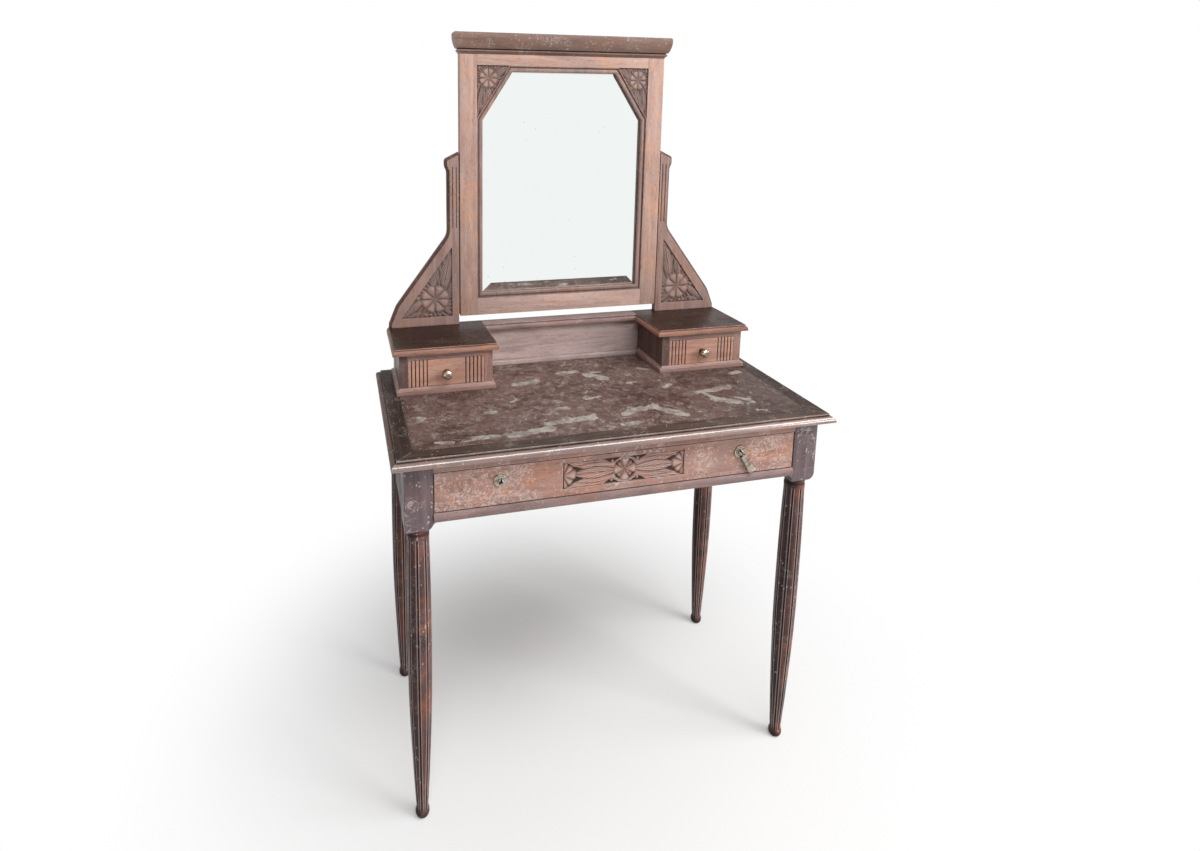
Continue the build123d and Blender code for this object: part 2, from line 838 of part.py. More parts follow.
def small_drawer(side, hand):
    """A drawer box with a brass knob, in the bay of a small cabinet."""
    bay_low, bay_high = case_bay
    front_near = bay_low + drawer_side_gap
    front_far = bay_high - drawer_side_gap
    box_front = case_front_y + small_front_thickness
    box_back = case_back_y - small_back_gap
    low = case_floor + running_gap
    front_top = case_rail_bottom - drawer_side_gap
    knob_z = (low + front_top) / 2 + knob_rise
    knob_face = Plane(
        origin=(side * case_centre_x, case_front_y, knob_z),
        x_dir=(1, 0, 0),
        z_dir=(0, -1, 0),
    )
    near_side = front_near + small_side_inset
    far_side = front_far - small_side_inset

    with BuildPart() as front:
        add_box(span(side, front_near, front_far), (case_front_y, box_front), (low, front_top))
        with BuildSketch(knob_face):
            Circle(knob_bolt_radius + bore_gap)
        extrude(amount=-small_front_thickness, mode=Mode.SUBTRACT)
    save(front, f"{hand}_small_drawer_front")

    with BuildPart() as sides:
        for near in (near_side, far_side - small_side_thickness):
            add_box(
                span(side, near, near + small_side_thickness),
                (box_front, box_back),
                (low, low + small_side_height),
            )
    save(sides, f"{hand}_small_drawer_sides")

    inside = span(side, near_side + small_side_thickness, far_side - small_side_thickness)
    floor = low + small_bottom_rise
    board(
        f"{hand}_small_drawer_back",
        inside,
        (box_back - small_side_thickness, box_back),
        (floor, low + small_side_height),
    )
    board(
        f"{hand}_small_drawer_bottom",
        inside,
        (box_front, box_back - small_side_thickness),
        (floor, floor + small_bottom_thickness),
    )

    with BuildPart() as knob:
        with BuildSketch(knob_face):
            Circle(knob_rose_radius)
        extrude(amount=knob_rose)
        with BuildSketch(knob_face.offset(knob_rose)):
            Circle(knob_stem_radius)
        extrude(amount=knob_stem)
        with BuildSketch(knob_face.offset(knob_rose + knob_stem)):
            RegularPolygon(radius=knob_radius, side_count=knob_facets)
        extrude(amount=knob_length)
        rims = knob.faces().sort_by(Axis.Y)[0].edges()
        chamfer(rims, length=knob_bevel)
        with BuildSketch(knob_face):
            Circle(knob_bolt_radius)
        extrude(amount=-small_front_thickness)
    save(knob, f"{hand}_knob")


small_drawer(-1, "left")
small_drawer(1, "right")


# --- Mirror brackets --------------------------------------------------------


def bracket(side, hand):
    """A post with an ear at its top, flaring into a foot with a carved field."""
    ear_x = post_outer_x + post_ear
    ear_z = post_shoulder_z - post_ear_height
    rounded = {
        (bracket_calf_x, bracket_calf_z): calf_radius,
        (post_outer_x, post_bend_z): bend_radius,
        (post_outer_x, ear_z - post_ear_curve): ear_radius,
        (ear_x, ear_z): ear_radius,
        (ear_x, post_shoulder_z): shoulder_radius,
    }
    field_x = bracket_inner_x + carving_inner
    field_z = cabinet_top_z + carving_bottom
    front = Plane.XZ.offset(-bracket_front_y)
    with BuildPart() as piece:
        with BuildSketch(front) as outline:
            with BuildLine():
                Polyline(
                    (bracket_inner_x, cabinet_top_z),
                    (bracket_foot_x, cabinet_top_z),
                    (bracket_foot_x, cabinet_top_z + bracket_toe),
                    *rounded,
                    (bracket_inner_x, post_top_z),
                    close=True,
                )
            make_face()
            for corner, radius in rounded.items():
                fillet(outline.vertices().sort_by_distance(corner)[0], radius=radius)
        extrude(amount=-bracket_thickness)
        face_edges = piece.faces().sort_by(Axis.Y)[0].edges()
        inner_and_foot = face_edges.group_by(Axis.X)[0] + face_edges.group_by(Axis.Z)[0]
        chamfer(face_edges - inner_and_foot, length=bracket_bevel)
        with BuildSketch(front):
            with BuildLine():
                Polyline(
                    (field_x, field_z),
                    (field_x + carving_width, field_z),
                    (field_x, field_z + carving_height),
                    close=True,
                )
            make_face()
        extrude(amount=-carving_depth, mode=Mode.SUBTRACT)
        with BuildSketch(front):
            for count in range(2):
                groove_x = bracket_inner_x + post_groove_inner + count * post_groove_pitch
                with Locations((groove_x, (post_groove_bottom + post_groove_top) / 2)):
                    Rectangle(post_groove_width, post_groove_top - post_groove_bottom)
        extrude(amount=-post_groove_depth, mode=Mode.SUBTRACT)
        with BuildSketch(Plane.YZ.offset(bracket_inner_x)):
            with Locations((pivot_y, pivot_z)):
                Circle(pivot_radius + bore_gap)
        extrude(amount=pivot_in_post + running_gap, mode=Mode.SUBTRACT)
        if side < 0:
            mirror(about=Plane.YZ, mode=Mode.REPLACE)
    save(piece, f"{hand}_bracket")


bracket(-1, "left")
bracket(1, "right")


# --- Mirror -----------------------------------------------------------------


def rail_tenon(side, z):
    """Limits of a mirror rail's tenon in a stile, behind the lip."""
    middle = (glass_front + mirror_back) / 2
    cheeks = (middle - mirror_tenon_thickness / 2, middle + mirror_tenon_thickness / 2)
    height = (z[0] + rail_tenon_shoulder, z[1] - rail_tenon_shoulder)
    return span(side, stile_inner, stile_inner + mirror_tenon_length), cheeks, height


bottom_rail_z = (mirror_bottom, rail_bottom_top)
top_rail_z = (rail_top_bottom, mirror_frame_top)

for side, hand in ((-1, "left"), (1, "right")):
    with BuildPart() as stile:
        add_box(
            span(side, stile_inner, mirror_half_width),
            (mirror_front, mirror_back),
            (mirror_bottom, mirror_frame_top),
        )
        add_box(
            span(side, sight_x, stile_inner),
            (mirror_front, glass_front),
            (rail_bottom_top, rail_top_bottom),
        )
        for rail_z in (bottom_rail_z, top_rail_z):
            tenon = rail_tenon(side, rail_z)
            add_box(*[grown(limits, joinery_gap) for limits in tenon], mode=Mode.SUBTRACT)
        with BuildSketch(Plane.YZ.offset(side * mirror_half_width)):
            with Locations((pivot_y, pivot_z)):
                Circle(pivot_radius + bore_gap)
        extrude(amount=-side * (pivot_in_stile + running_gap), mode=Mode.SUBTRACT)
    save(stile, f"mirror_{hand}_stile")

for name, rail_z, lip_z in (
    ("mirror_bottom_rail", bottom_rail_z, (rail_bottom_top, sight_bottom)),
    ("mirror_top_rail", top_rail_z, (sight_top, rail_top_bottom)),
):
    with BuildPart() as rail:
        add_box((-stile_inner, stile_inner), (mirror_front, mirror_back), rail_z)
        add_box((-sight_x, sight_x), (mirror_front, glass_front), lip_z)
        for side in (-1, 1):
            add_box(*rail_tenon(side, rail_z))
    save(rail, name)

# Carved panels fill the two upper corners, in front of the glass.
with BuildPart() as mirror_corner_panels:
    with BuildSketch(Plane.XZ.offset(-mirror_front)):
        for side in (-1, 1):
            with BuildLine():
                Polyline(
                    (side * sight_x, sight_top),
                    (side * (sight_x - corner_run), sight_top),
                    (side * sight_x, sight_top - corner_drop),
                    close=True,
                )
            make_face()
    extrude(amount=-lip_thickness)
save(mirror_corner_panels, "mirror_corner_panels")

# The glass follows the sight line at a constant distance, cut corners included.
with BuildPart() as mirror_glass:
    glass_x = sight_x + glass_cover
    glass_low = sight_bottom - glass_cover
    glass_high = sight_top + glass_cover
    corner_slack = corner_run + corner_drop - (corner_run**2 + corner_drop**2) ** 0.5
    cut_run = corner_run + glass_cover * corner_slack / corner_drop
    cut_drop = corner_drop + glass_cover * corner_slack / corner_run
    with BuildSketch(Plane.XZ.offset(-glass_front)):
        with BuildLine():
            Polyline(
                (-glass_x, glass_low),
                (glass_x, glass_low),
                (glass_x, glass_high - cut_drop),
                (glass_x - cut_run, glass_high),
                (-glass_x + cut_run, glass_high),
                (-glass_x, glass_high - cut_drop),
                close=True,
            )
        make_face()
    extrude(amount=-glass_thickness)
save(mirror_glass, "mirror_glass")

board(
    "mirror_backboard",
    (-stile_inner + joinery_gap, stile_inner - joinery_gap),
    (glass_front + glass_thickness, glass_front + glass_thickness + backboard_thickness),
    (rail_bottom_top + joinery_gap, rail_top_bottom - joinery_gap),
)


def cornice_side(face, out):
    """Inside a BuildLine: bead, quirk, fillet, cove and rounded nose of the cornice."""
    bead_top = mirror_frame_top + cornice_bead_height
    fillet_low = bead_top + cornice_quirk
    fillet_high = fillet_low + cornice_fillet
    fillet_x = face + out * cornice_fillet_projection
    nose_x = face + out * cornice_projection
    nose_low = fillet_high + cornice_cove
    top = mirror_frame_top + cornice_height
    bead_nose = (face + out * cornice_bead, (mirror_frame_top + bead_top) / 2)
    shoulder = (
        nose_x - out * cornice_nose * (1 - cos(radians(45))),
        top - cornice_nose * (1 - sin(radians(45))),
    )
    ThreePointArc((face, mirror_frame_top), bead_nose, (face, bead_top))
    Polyline((face, bead_top), (face, fillet_low), (fillet_x, fillet_low), (fillet_x, fillet_high))
    EllipticalCenterArc(
        center=(nose_x, fillet_high),
        x_radius=cornice_projection - cornice_fillet_projection,
        y_radius=cornice_cove,
        start_angle=quarter_turn if out > 0 else 0,
        arc_size=quarter_turn,
    )
    Line((nose_x, nose_low), (nose_x, top - cornice_nose))
    ThreePointArc((nose_x, top - cornice_nose), shoulder, (nose_x - out * cornice_nose, top))
    return (nose_x - out * cornice_nose, top)


with BuildPart() as mirror_cornice:
    with BuildSketch(Plane.XZ):
        with BuildLine():
            top_low = cornice_side(-mirror_half_width, -1)
            top_high = cornice_side(mirror_half_width, 1)
            Line(top_low, top_high)
            Line((-mirror_half_width, mirror_frame_top), (mirror_half_width, mirror_frame_top))
        make_face()
    extrude(amount=table_depth, both=True)
    with BuildSketch(Plane.YZ):
        with BuildLine():
            top_front = cornice_side(mirror_front, -1)
            top_back = (mirror_back, mirror_frame_top + cornice_height)
            Polyline(top_front, top_back, (mirror_back, mirror_frame_top), (mirror_front, mirror_frame_top))
        make_face()
    extrude(amount=table_width, both=True, mode=Mode.INTERSECT)
save(mirror_cornice, "mirror_cornice")

# The mirror hangs on two steel pins, which turn in the posts of the brackets.
with BuildPart() as mirror_pivots:
    for side in (-1, 1):
        with BuildSketch(Plane.YZ.offset(side * (mirror_half_width - pivot_in_stile))):
            with Locations((pivot_y, pivot_z)):
                Circle(pivot_radius)
        extrude(amount=side * (bracket_inner_x - mirror_half_width + pivot_in_stile + pivot_in_post))
        with BuildSketch(Plane.YZ.offset(side * mirror_half_width)):
            with Locations((pivot_y, pivot_z)):
                Circle(pivot_collar_radius)
        extrude(amount=side * (bracket_inner_x - running_gap - mirror_half_width))
save(mirror_pivots, "mirror_pivots")
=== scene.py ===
import math

import bpy
from mathutils import Matrix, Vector
import numpy as np

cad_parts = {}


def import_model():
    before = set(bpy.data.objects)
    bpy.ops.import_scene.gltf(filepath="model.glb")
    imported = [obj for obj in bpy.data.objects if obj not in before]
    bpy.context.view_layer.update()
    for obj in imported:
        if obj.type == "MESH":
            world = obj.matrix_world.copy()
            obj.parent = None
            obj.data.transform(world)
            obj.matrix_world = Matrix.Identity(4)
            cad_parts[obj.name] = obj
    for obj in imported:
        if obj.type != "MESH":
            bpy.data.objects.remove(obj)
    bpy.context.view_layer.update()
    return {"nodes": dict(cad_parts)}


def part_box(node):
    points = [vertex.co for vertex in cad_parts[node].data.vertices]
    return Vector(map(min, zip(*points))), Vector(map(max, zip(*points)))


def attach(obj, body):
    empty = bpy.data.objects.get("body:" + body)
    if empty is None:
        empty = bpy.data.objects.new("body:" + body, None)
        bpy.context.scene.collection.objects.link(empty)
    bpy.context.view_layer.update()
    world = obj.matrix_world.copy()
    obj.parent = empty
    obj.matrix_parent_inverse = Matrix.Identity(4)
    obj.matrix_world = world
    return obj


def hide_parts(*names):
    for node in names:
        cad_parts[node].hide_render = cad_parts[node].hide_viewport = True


# A poudreuse with worn wood, fluted legs, carved flowers, a marble top and a
# bevelled mirror. Metres, in the frame of the CAD part: +X to the right of the
# sitter, +Y to the back, +Z up. Shapes are worked out in millimetres and become
# metres when their mesh is made.

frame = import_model()
NODES = frame["nodes"]
HANDS = {"left": -1, "right": 1}  # each hand, and the sign of its x
SHARP = math.radians(38)  # faces that meet at more than this keep a sharp edge


# --- Meshes ---


def add_object(name, data):
    """A new object in the scene."""
    piece = bpy.data.objects.new(name, data)
    bpy.context.scene.collection.objects.link(piece)
    return piece


def put(name, shape, materials, body, replaced, flat=False, split=None):
    """A piece from a shape in millimetres, riding on a body.

    A shape is its points (n, 3), its faces, and numbers for each point, which the
    mesh carries for the materials. split is the number of faces that take the
    first of two materials.
    """
    points, faces, values = shape
    mesh = bpy.data.meshes.new(name)
    mesh.from_pydata((points * 0.001).tolist(), [], faces)
    for label, numbers in values.items():
        attribute = mesh.attributes.new(label, "FLOAT", "POINT")
        attribute.data.foreach_set("value", np.asarray(numbers, np.float32).ravel())
    for material in materials if split else (materials,):
        mesh.materials.append(material)
    if split:
        mesh.polygons.foreach_set("material_index", (np.arange(len(faces)) >= split).astype(np.int32))
    if not flat:
        mesh.shade_smooth()
        mesh.set_sharp_from_angle(angle=SHARP)
    piece = add_object(name, mesh)
    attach(piece, body)
    if replaced:
        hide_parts(*replaced)


def limits(node):
    """The lowest and highest corner of a CAD node, in millimetres."""
    low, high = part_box(node)
    return np.array(low) * 1000, np.array(high) * 1000


def quads(rows, columns, wrap=False, loop=False):
    """Faces of a grid. wrap joins the last column to the first, loop the last row."""
    index = np.arange(rows * columns).reshape(rows, columns)
    if wrap:
        index = np.concatenate([index, index[:, :1]], axis=1)
    if loop:
        index = np.concatenate([index, index[:1]], axis=0)
    corners = [index[:-1, :-1], index[:-1, 1:], index[1:, 1:], index[1:, :-1]]
    return np.stack(corners, axis=-1).reshape(-1, 4).tolist()


def tubes(stacks, **values):
    """A shape of closed tubes from stacks of rings (rows, columns, 3).

    Each ring runs anticlockwise seen from the last row, and a flat face closes
    both ends of each tube.
    """
    faces = []
    start = 0
    for rows, columns, _ in (stack.shape for stack in stacks):
        first = start + np.arange(columns)
        faces += (np.array(quads(rows, columns, wrap=True)) + start).tolist()
        faces += [first[::-1].tolist(), (first + (rows - 1) * columns).tolist()]
        start += rows * columns
    return np.concatenate([stack.reshape(-1, 3) for stack in stacks]), faces, values


def rim_of(grid):
    """What lies round the rim of a grid, from its first corner."""
    return np.concatenate([grid[0, :-1], grid[:-1, -1], grid[-1, :0:-1], grid[:0:-1, 0]])


def relief_board(x, y, z, back, **values):
    """A shape of a board with a worked front, from grids of points (rows, columns).

    Rows climb along Z and columns run along X. The rim of the front drops
    straight back to the plane y = back, which one flat face closes.
    """
    if x[-1, 0] > x[-1, -1]:
        x, y, z = x[:, ::-1], y[:, ::-1], z[:, ::-1]
        values = {label: grid[:, ::-1] for label, grid in values.items()}
    front = np.stack([x, y, z], axis=-1).reshape(-1, 3)
    rim = rim_of(np.arange(x.size).reshape(x.shape))
    rear = front[rim]
    rear[:, 1] = back
    behind = x.size + np.arange(len(rim))
    walls = np.stack([rim, behind, np.roll(behind, -1), np.roll(rim, -1)], axis=-1)
    faces = quads(*x.shape) + walls.tolist() + [behind[::-1].tolist()]
    values = {label: np.append(grid, rim_of(grid)) for label, grid in values.items()}
    return np.concatenate([front, rear]), faces, values


def ease(value, low, high):
    """0 below low, 1 above high, and a smooth step between them."""
    t = np.clip((value - low) / (high - low), 0.0, 1.0)
    return t * t * (3.0 - 2.0 * t)


def line(distance, width):
    """1 on a line and 0 away from it, as a bell curve of the distance."""
    return np.exp(-((distance / width) ** 2))


def to_rim(x, y, low, high):
    """How far each point lies from the nearest side of a rectangle, given two corners."""
    return np.minimum.reduce([x - low[0], high[0] - x, y - low[1], high[1] - y])


def smooth_curve(knots, at):
    """A cubic Hermite curve through (place, value) knots, with centred slopes."""
    place, value = np.asarray(knots, float).T
    slope = np.gradient(value, place)
    i = np.clip(np.searchsorted(place, at) - 1, 0, len(place) - 2)
    step = place[i + 1] - place[i]
    t = (at - place[i]) / step
    return (
        (1 + 2 * t) * (1 - t) ** 2 * value[i]
        + t * (1 - t) ** 2 * step * slope[i]
        + t * t * (3 - 2 * t) * value[i + 1]
        + t * t * (t - 1) * step * slope[i + 1]
    )


def round_inset(distance, radius):
    """How far a quarter-round edge lies inside its face, at a distance from its end."""
    short = np.clip(radius - distance, 0, radius)
    return radius - np.sqrt(radius * radius - short * short)


def rounded_rectangle(low, high, radius, steps=5):
    """Anticlockwise outlines (rows, points, 2) of rectangles with round corners.

    low and high are (rows, 2) corners, and radius has one value for each row.
    """
    radius = np.asarray(radius, float)[:, None]
    turn = np.linspace(0, math.pi / 2, steps)
    arcs = []
    for quarter, (at_x, at_y) in enumerate(((1, 1), (0, 1), (0, 0), (1, 0))):
        centre_x = high[:, :1] - radius if at_x else low[:, :1] + radius
        centre_y = high[:, 1:] - radius if at_y else low[:, 1:] + radius
        angle = turn + quarter * math.pi / 2
        arcs.append(np.stack([centre_x + radius * np.cos(angle), centre_y + radius * np.sin(angle)], -1))
    return np.concatenate(arcs, axis=1)


def block(low, high, radius, along=2, corner=0.0):
    """Rings of a box with rounded edges, stacked along one axis.

    Near both ends each side steps in as a quarter round. corner rounds the edge
    at the high side of the first cross axis and the low end by a larger radius.
    """
    low = np.asarray(low, float)
    high = np.asarray(high, float)
    eased = radius * (1 - np.cos(np.linspace(0, math.pi / 2, 5)))
    rounded = corner * (1 - np.cos(np.linspace(0, math.pi / 2, 12)))
    rise = np.unique(np.round(np.concatenate([eased, rounded]), 4))
    place = np.concatenate([low[along] + rise, high[along] - eased[::-1]])
    inset = round_inset(place - low[along], radius) + round_inset(high[along] - place, radius)
    across = [(along + 1) % 3, (along + 2) % 3]
    inner = low[across] + inset[:, None]
    outer = high[across] - inset[:, None]
    if corner:
        bound = high[across[0]] - round_inset(place - low[along], corner)
        outer[:, 0] = np.minimum(outer[:, 0], bound)
    outline = rounded_rectangle(inner, outer, np.maximum(radius - inset, 0.03))
    stack = np.empty(outline.shape[:2] + (3,))
    stack[..., across[0]] = outline[..., 0]
    stack[..., across[1]] = outline[..., 1]
    stack[..., along] = place[:, None]
    return stack


# --- Carving ---


def flower(x, z, centre, radius, height, turn=0.0, wide=0.5, narrow=1.0, heart=0.45):
    """Height of a flower of four wide and four narrow petals round a sunken heart.

    Each petal is a wedge whose section is a half ellipse, so the petals part in
    narrow grooves. It climbs from the heart outwards and ends in a round rim.
    turn points the first wide petal, wide is its share of a quarter turn, narrow
    is the reach of the narrow petals beside that of the wide ones, and heart is
    the height of the middle beside that of the rim.
    """
    dx = x - centre[0]
    dz = z - centre[1]
    reach = np.hypot(dx, dz)
    quarter = (np.arctan2(dz, dx) - math.radians(turn)) / (math.pi / 2)
    off = np.abs(quarter - np.round(quarter))
    is_wide = off < wide / 2
    across = np.where(is_wide, off / (wide / 2), (0.5 - off) / ((1 - wide) / 2))
    end = radius * np.where(is_wide, 1.0, narrow) * (1 - 0.12 * across**4)
    crown = np.clip(1 - across**2.4, 0, 1) ** 0.45
    climb = heart + (1 - heart) * ease(reach, 0, 0.75 * radius)
    rim = np.sqrt(np.clip((end - reach) / (0.2 * radius), 0, 1))
    return height * crown * climb * rim


def leaf(x, z, base, tip, half_width, height, belly, vein):
    """Height of a pointed leaf from base to tip.

    Its half-width rises to its belly and falls to both ends. A groove runs along
    its middle, and slanting veins wave its two cheeks.
    """
    run = np.subtract(tip, base)
    length = math.hypot(*run)
    along = ((x - base[0]) * run[0] + (z - base[1]) * run[1]) / length**2
    aside = ((z - base[1]) * run[0] - (x - base[0]) * run[1]) / length
    s = np.clip(along, 1e-4, 1 - 1e-4)
    half = half_width * ((s / belly) ** belly * ((1 - s) / (1 - belly)) ** (1 - belly)) ** 1.5
    share = np.abs(aside) / np.maximum(half, 0.05)
    crown = np.clip(1 - share**2.5, 0, 1) ** 0.5
    groove = 1 - 0.5 * line(aside, 1.0)
    wave = 0.5 + 0.5 * np.cos(2 * math.pi * (s * length - 1.2 * np.abs(aside)) / vein)
    veins = 1 - 0.5 * wave * ease(share, 0.08, 0.35)
    inside = (along > 0) & (along < 1)
    return np.where(inside, height * crown * groove * veins, 0)


def rays(x, z, centre, height, count=26):
    """Height of a leafy ground: low ridges that spread from a centre and bend a little."""
    turn = np.arctan2(z - centre[1], x - centre[0])
    reach = np.hypot(x - centre[0], z - centre[1])
    return height * (0.6 + 0.4 * np.cos(count * turn + 0.25 * reach))


def bead(x, z, centre, radius, height):
    """Height of a round bead: a half circle in section."""
    apart = (x - centre[0]) ** 2 + (z - centre[1]) ** 2
    return height * np.sqrt(np.clip(1 - apart / radius**2, 0, 1))


def highest(heights):
    """The highest of several carved forms at each point."""
    return np.maximum.reduce(list(heights))


def depth_of(height, full):
    """How deep a point lies: 1 on the ground, 0 from a height of full."""
    return np.clip(1 - height / full, 0, 1)


CLEAR_ABOVE = 3.2  # height of carving in a triangle from which no dirt or painted shade lies


def carved_triangle(u, z, side, front, back, dark, centre, radius, leaves, beads):
    """The board of a carved triangle, with its ground at y = front.

    A flower in its square corner, leaves that run to its sharp corners, beads
    between them, and a leafy ground. dark is how much dirt and painted shade lie on the ground.
    """
    forms = [flower(u, z, centre, radius, 3.7, 22.5), rays(u, z, centre, 1.9)]
    forms += [leaf(u, z, *row) for row in leaves] + [bead(u, z, *row) for row in beads]
    height = highest(forms)
    # Rubbed wear and a painted highlight on the crests of the carving.
    light = 0.12 * ease(height, 0.78 * CLEAR_ABOVE, 1.1 * CLEAR_ABOVE)
    # Dirt and painted shade on the low ground of the carving.
    dirt_and_shade = dark * depth_of(height, CLEAR_ABOVE)
    return relief_board(side * u, front - height, z, back, hollow=dirt_and_shade, ridge=light)


# --- Finishes ---


def tone(colour):
    """A colour from the 0-255 numbers of a paint chart, made linear."""
    share = np.array(colour) / 255
    linear = np.where(share <= 0.04045, share / 12.92, ((share + 0.055) / 1.055) ** 2.4)
    return (*linear.tolist(), 1.0)


class Bench:
    """Makes nodes in one tree. A value is a plain number, or a socket to join."""

    def __init__(self, tree):
        self.tree = tree

    def fill(self, node, values):
        """Sets some inputs of a node, or joins them to the sockets given for them."""
        for name, value in values.items():
            if isinstance(value, bpy.types.NodeSocket):
                self.tree.links.new(value, node.inputs[name])
            else:
                node.inputs[name].default_value = value

    def add(self, kind, inputs, **settings):
        made = self.tree.nodes.new("ShaderNode" + kind)
        for name, value in settings.items():
            setattr(made, name, value)
        self.fill(made, inputs)
        return made

    def math(self, operation, first, second=0):
        return self.add("Math", {0: first, 1: second}, operation=operation).outputs[0]

    def plus(self, first, second):
        return self.math("ADD", first, second)

    def minus(self, first, second):
        return self.math("SUBTRACT", first, second)

    def times(self, first, second):
        return self.math("MULTIPLY", first, second)

    def larger(self, first, second):
        return self.math("MAXIMUM", first, second)

    def vectors(self, operation, first, second=(0, 0, 0)):
        return self.add("VectorMath", {0: first, 1: second}, operation=operation).outputs

    def stretch(self, vector, scale):
        return self.vectors("MULTIPLY", vector, scale)[0]

    def mix(self, amount, first, second):
        """A mix of two colours. Each is a socket, or the numbers of a paint chart."""
        first, second = (tone(c) if isinstance(c, tuple) else c for c in (first, second))
        return self.add("Mix", {0: amount, 6: first, 7: second}, data_type="RGBA").outputs[2]

    def noise(self, vector, scale, detail=3, roughness=0.5, distortion=0):
        inputs = {"Vector": vector, "Scale": scale, "Detail": detail}
        inputs |= {"Roughness": roughness, "Distortion": distortion}
        return self.add("TexNoise", inputs).outputs[0]

    def cells(self, vector, scale):
        return self.add("TexVoronoi", {"Vector": vector, "Scale": scale}).outputs[0]

    def step(self, value, low, high, start=0, end=1):
        """start below low, end above high, and a smooth step between them."""
        inputs = {"Value": value, "From Min": low, "From Max": high, "To Min": start, "To Max": end}
        return self.add("MapRange", inputs, interpolation_type="SMOOTHSTEP").outputs[0]

    def place(self):
        return self.add("TexCoord", {}).outputs["Object"]

    def parts(self, vector):
        return self.add("SeparateXYZ", {0: vector}).outputs

    def value(self, label):
        """A number that the mesh carries for each point, and 0 where it has none."""
        return self.add("Attribute", {}, attribute_name=label).outputs["Fac"]

    def bump(self, height, strength, distance, normal):
        inputs = {"Strength": strength, "Distance": distance, "Height": height, "Normal": normal}
        return self.add("Bump", inputs).outputs[0]

    def group(self, tree, **inputs):
        made = self.tree.nodes.new("ShaderNodeGroup")
        made.node_tree = tree
        self.fill(made, inputs)
        return made.outputs


def effect(name, takes, gives):
    """An empty node group: its bench, its input sockets and its output node."""
    tree = bpy.data.node_groups.new(name, "ShaderNodeTree")
    for way, sockets in (("INPUT", takes), ("OUTPUT", gives)):
        for label, kind in sockets.items():
            tree.interface.new_socket(name=label, in_out=way, socket_type="NodeSocket" + kind)
    return Bench(tree), tree.nodes.new("NodeGroupInput").outputs, tree.nodes.new("NodeGroupOutput")


def grain_effect():
    """Broad figure, fine fibres and short pores, drawn out along the board."""
    gives = dict.fromkeys(("Broad", "Fine", "Pores"), "Float")
    b, takes, out = effect("grain", {"Vector": "Vector", "Stretch": "Vector"}, gives)
    drawn = b.stretch(takes["Vector"], takes["Stretch"])
    close = b.stretch(drawn, (3, 3, 3))
    b.fill(out, {
        "Broad": b.step(b.noise(drawn, 1, 5, 0.6, 1.4), 0.3, 0.7),
        "Fine": b.step(b.noise(drawn, 7, 4, 0.65, 0.5), 0.25, 0.75),
        "Pores": b.step(b.noise(close, 6, 1, 0.4), 0.64, 0.7),
    })
    return b.tree


def wear_effect():
    """Rubbed edges, from how far a rounded normal leans away from the face, and dirt and painted shade in
    corners, from ambient occlusion.
    """
    gives = {"Edge": "Float", "DirtAndShade": "Float", "Normal": "Vector"}
    b, takes, out = effect("wear", {"Vector": "Vector", "Reach": "Float"}, gives)
    rounded = b.add("Bevel", {"Radius": takes["Reach"]}, samples=6).outputs[0]
    face = b.add("NewGeometry", {}).outputs["Normal"]
    lean = b.minus(1, b.vectors("DOT_PRODUCT", rounded, face)["Value"])
    patchy = b.step(b.noise(takes["Vector"], 30, 4, 0.65), 0.3, 0.6)
    # Ambient occlusion: dirt and painted shade where corners and recesses close in.
    air = b.add("AmbientOcclusion", {"Distance": 0.006}, samples=6).outputs["AO"]
    b.fill(out, {
        "Edge": b.times(b.step(lean, 0.01, 0.16), patchy),
        "DirtAndShade": b.step(air, 0.3, 0.8, 1, 0),
        "Normal": rounded,
    })
    return b.tree


def scuff_effect():
    """Marks of age. Curls are thin bands round three levels of a noise, kept to patches
    that More widens. Flecks and Holes are small cells, and Clouds and Glow are broad
    patches of colour."""
    gives = dict.fromkeys(("Curls", "Flecks", "Holes", "Clouds", "Glow"), "Float")
    b, takes, out = effect("scuffs", {"Vector": "Vector", "More": "Float"}, gives)
    place, more = takes["Vector"], takes["More"]
    level = b.times(b.noise(b.stretch(place, (0.7, 1, 1)), 62, 2, 0.5, 2.2), 3)
    off = b.math("ABSOLUTE", b.minus(b.math("FRACT", level), 0.5))
    patch = b.step(b.plus(b.noise(place, 19, 4, 0.65), more), 0.53, 0.66)
    speck = b.step(b.cells(b.stretch(place, (1, 1, 0.6)), 190), 0.2, 0.36, 1, 0)
    where = b.step(b.plus(b.noise(place, 60, 3, 0.7), more), 0.52, 0.62)
    hole = b.step(b.cells(place, 62), 0.05, 0.09, 1, 0)
    glow = b.noise(b.stretch(place, (0.8, 0.8, 1.1)), 17, 5, 0.62, 0.5)
    b.fill(out, {
        "Curls": b.times(b.step(off, 0.06, 0.2, 1, 0), patch),
        "Flecks": b.times(speck, where),
        "Holes": b.times(hole, b.step(b.noise(place, 13, 2), 0.48, 0.56)),
        "Clouds": b.step(b.noise(place, 12, 5, 0.66, 0.8), 0.34, 0.66),
        "Glow": b.step(glow, 0.46, 0.66),
    })
    return b.tree


GRAIN = grain_effect()
WEAR = wear_effect()
SCUFFS = scuff_effect()


def material(name):
    """An empty material: its bench, its Principled shader, and the material."""
    made = bpy.data.materials.new(name)
    made.use_nodes = True
    return Bench(made.node_tree), made.node_tree.nodes["Principled BSDF"], made


# How much closer the grain lies across the board than along it.
STRETCHES = {"x": (4.5, 46, 46), "y": (46, 4.5, 46), "z": (46, 46, 4.5)}
EASED = 0.0016  # reach of the wear on an edge, in metres


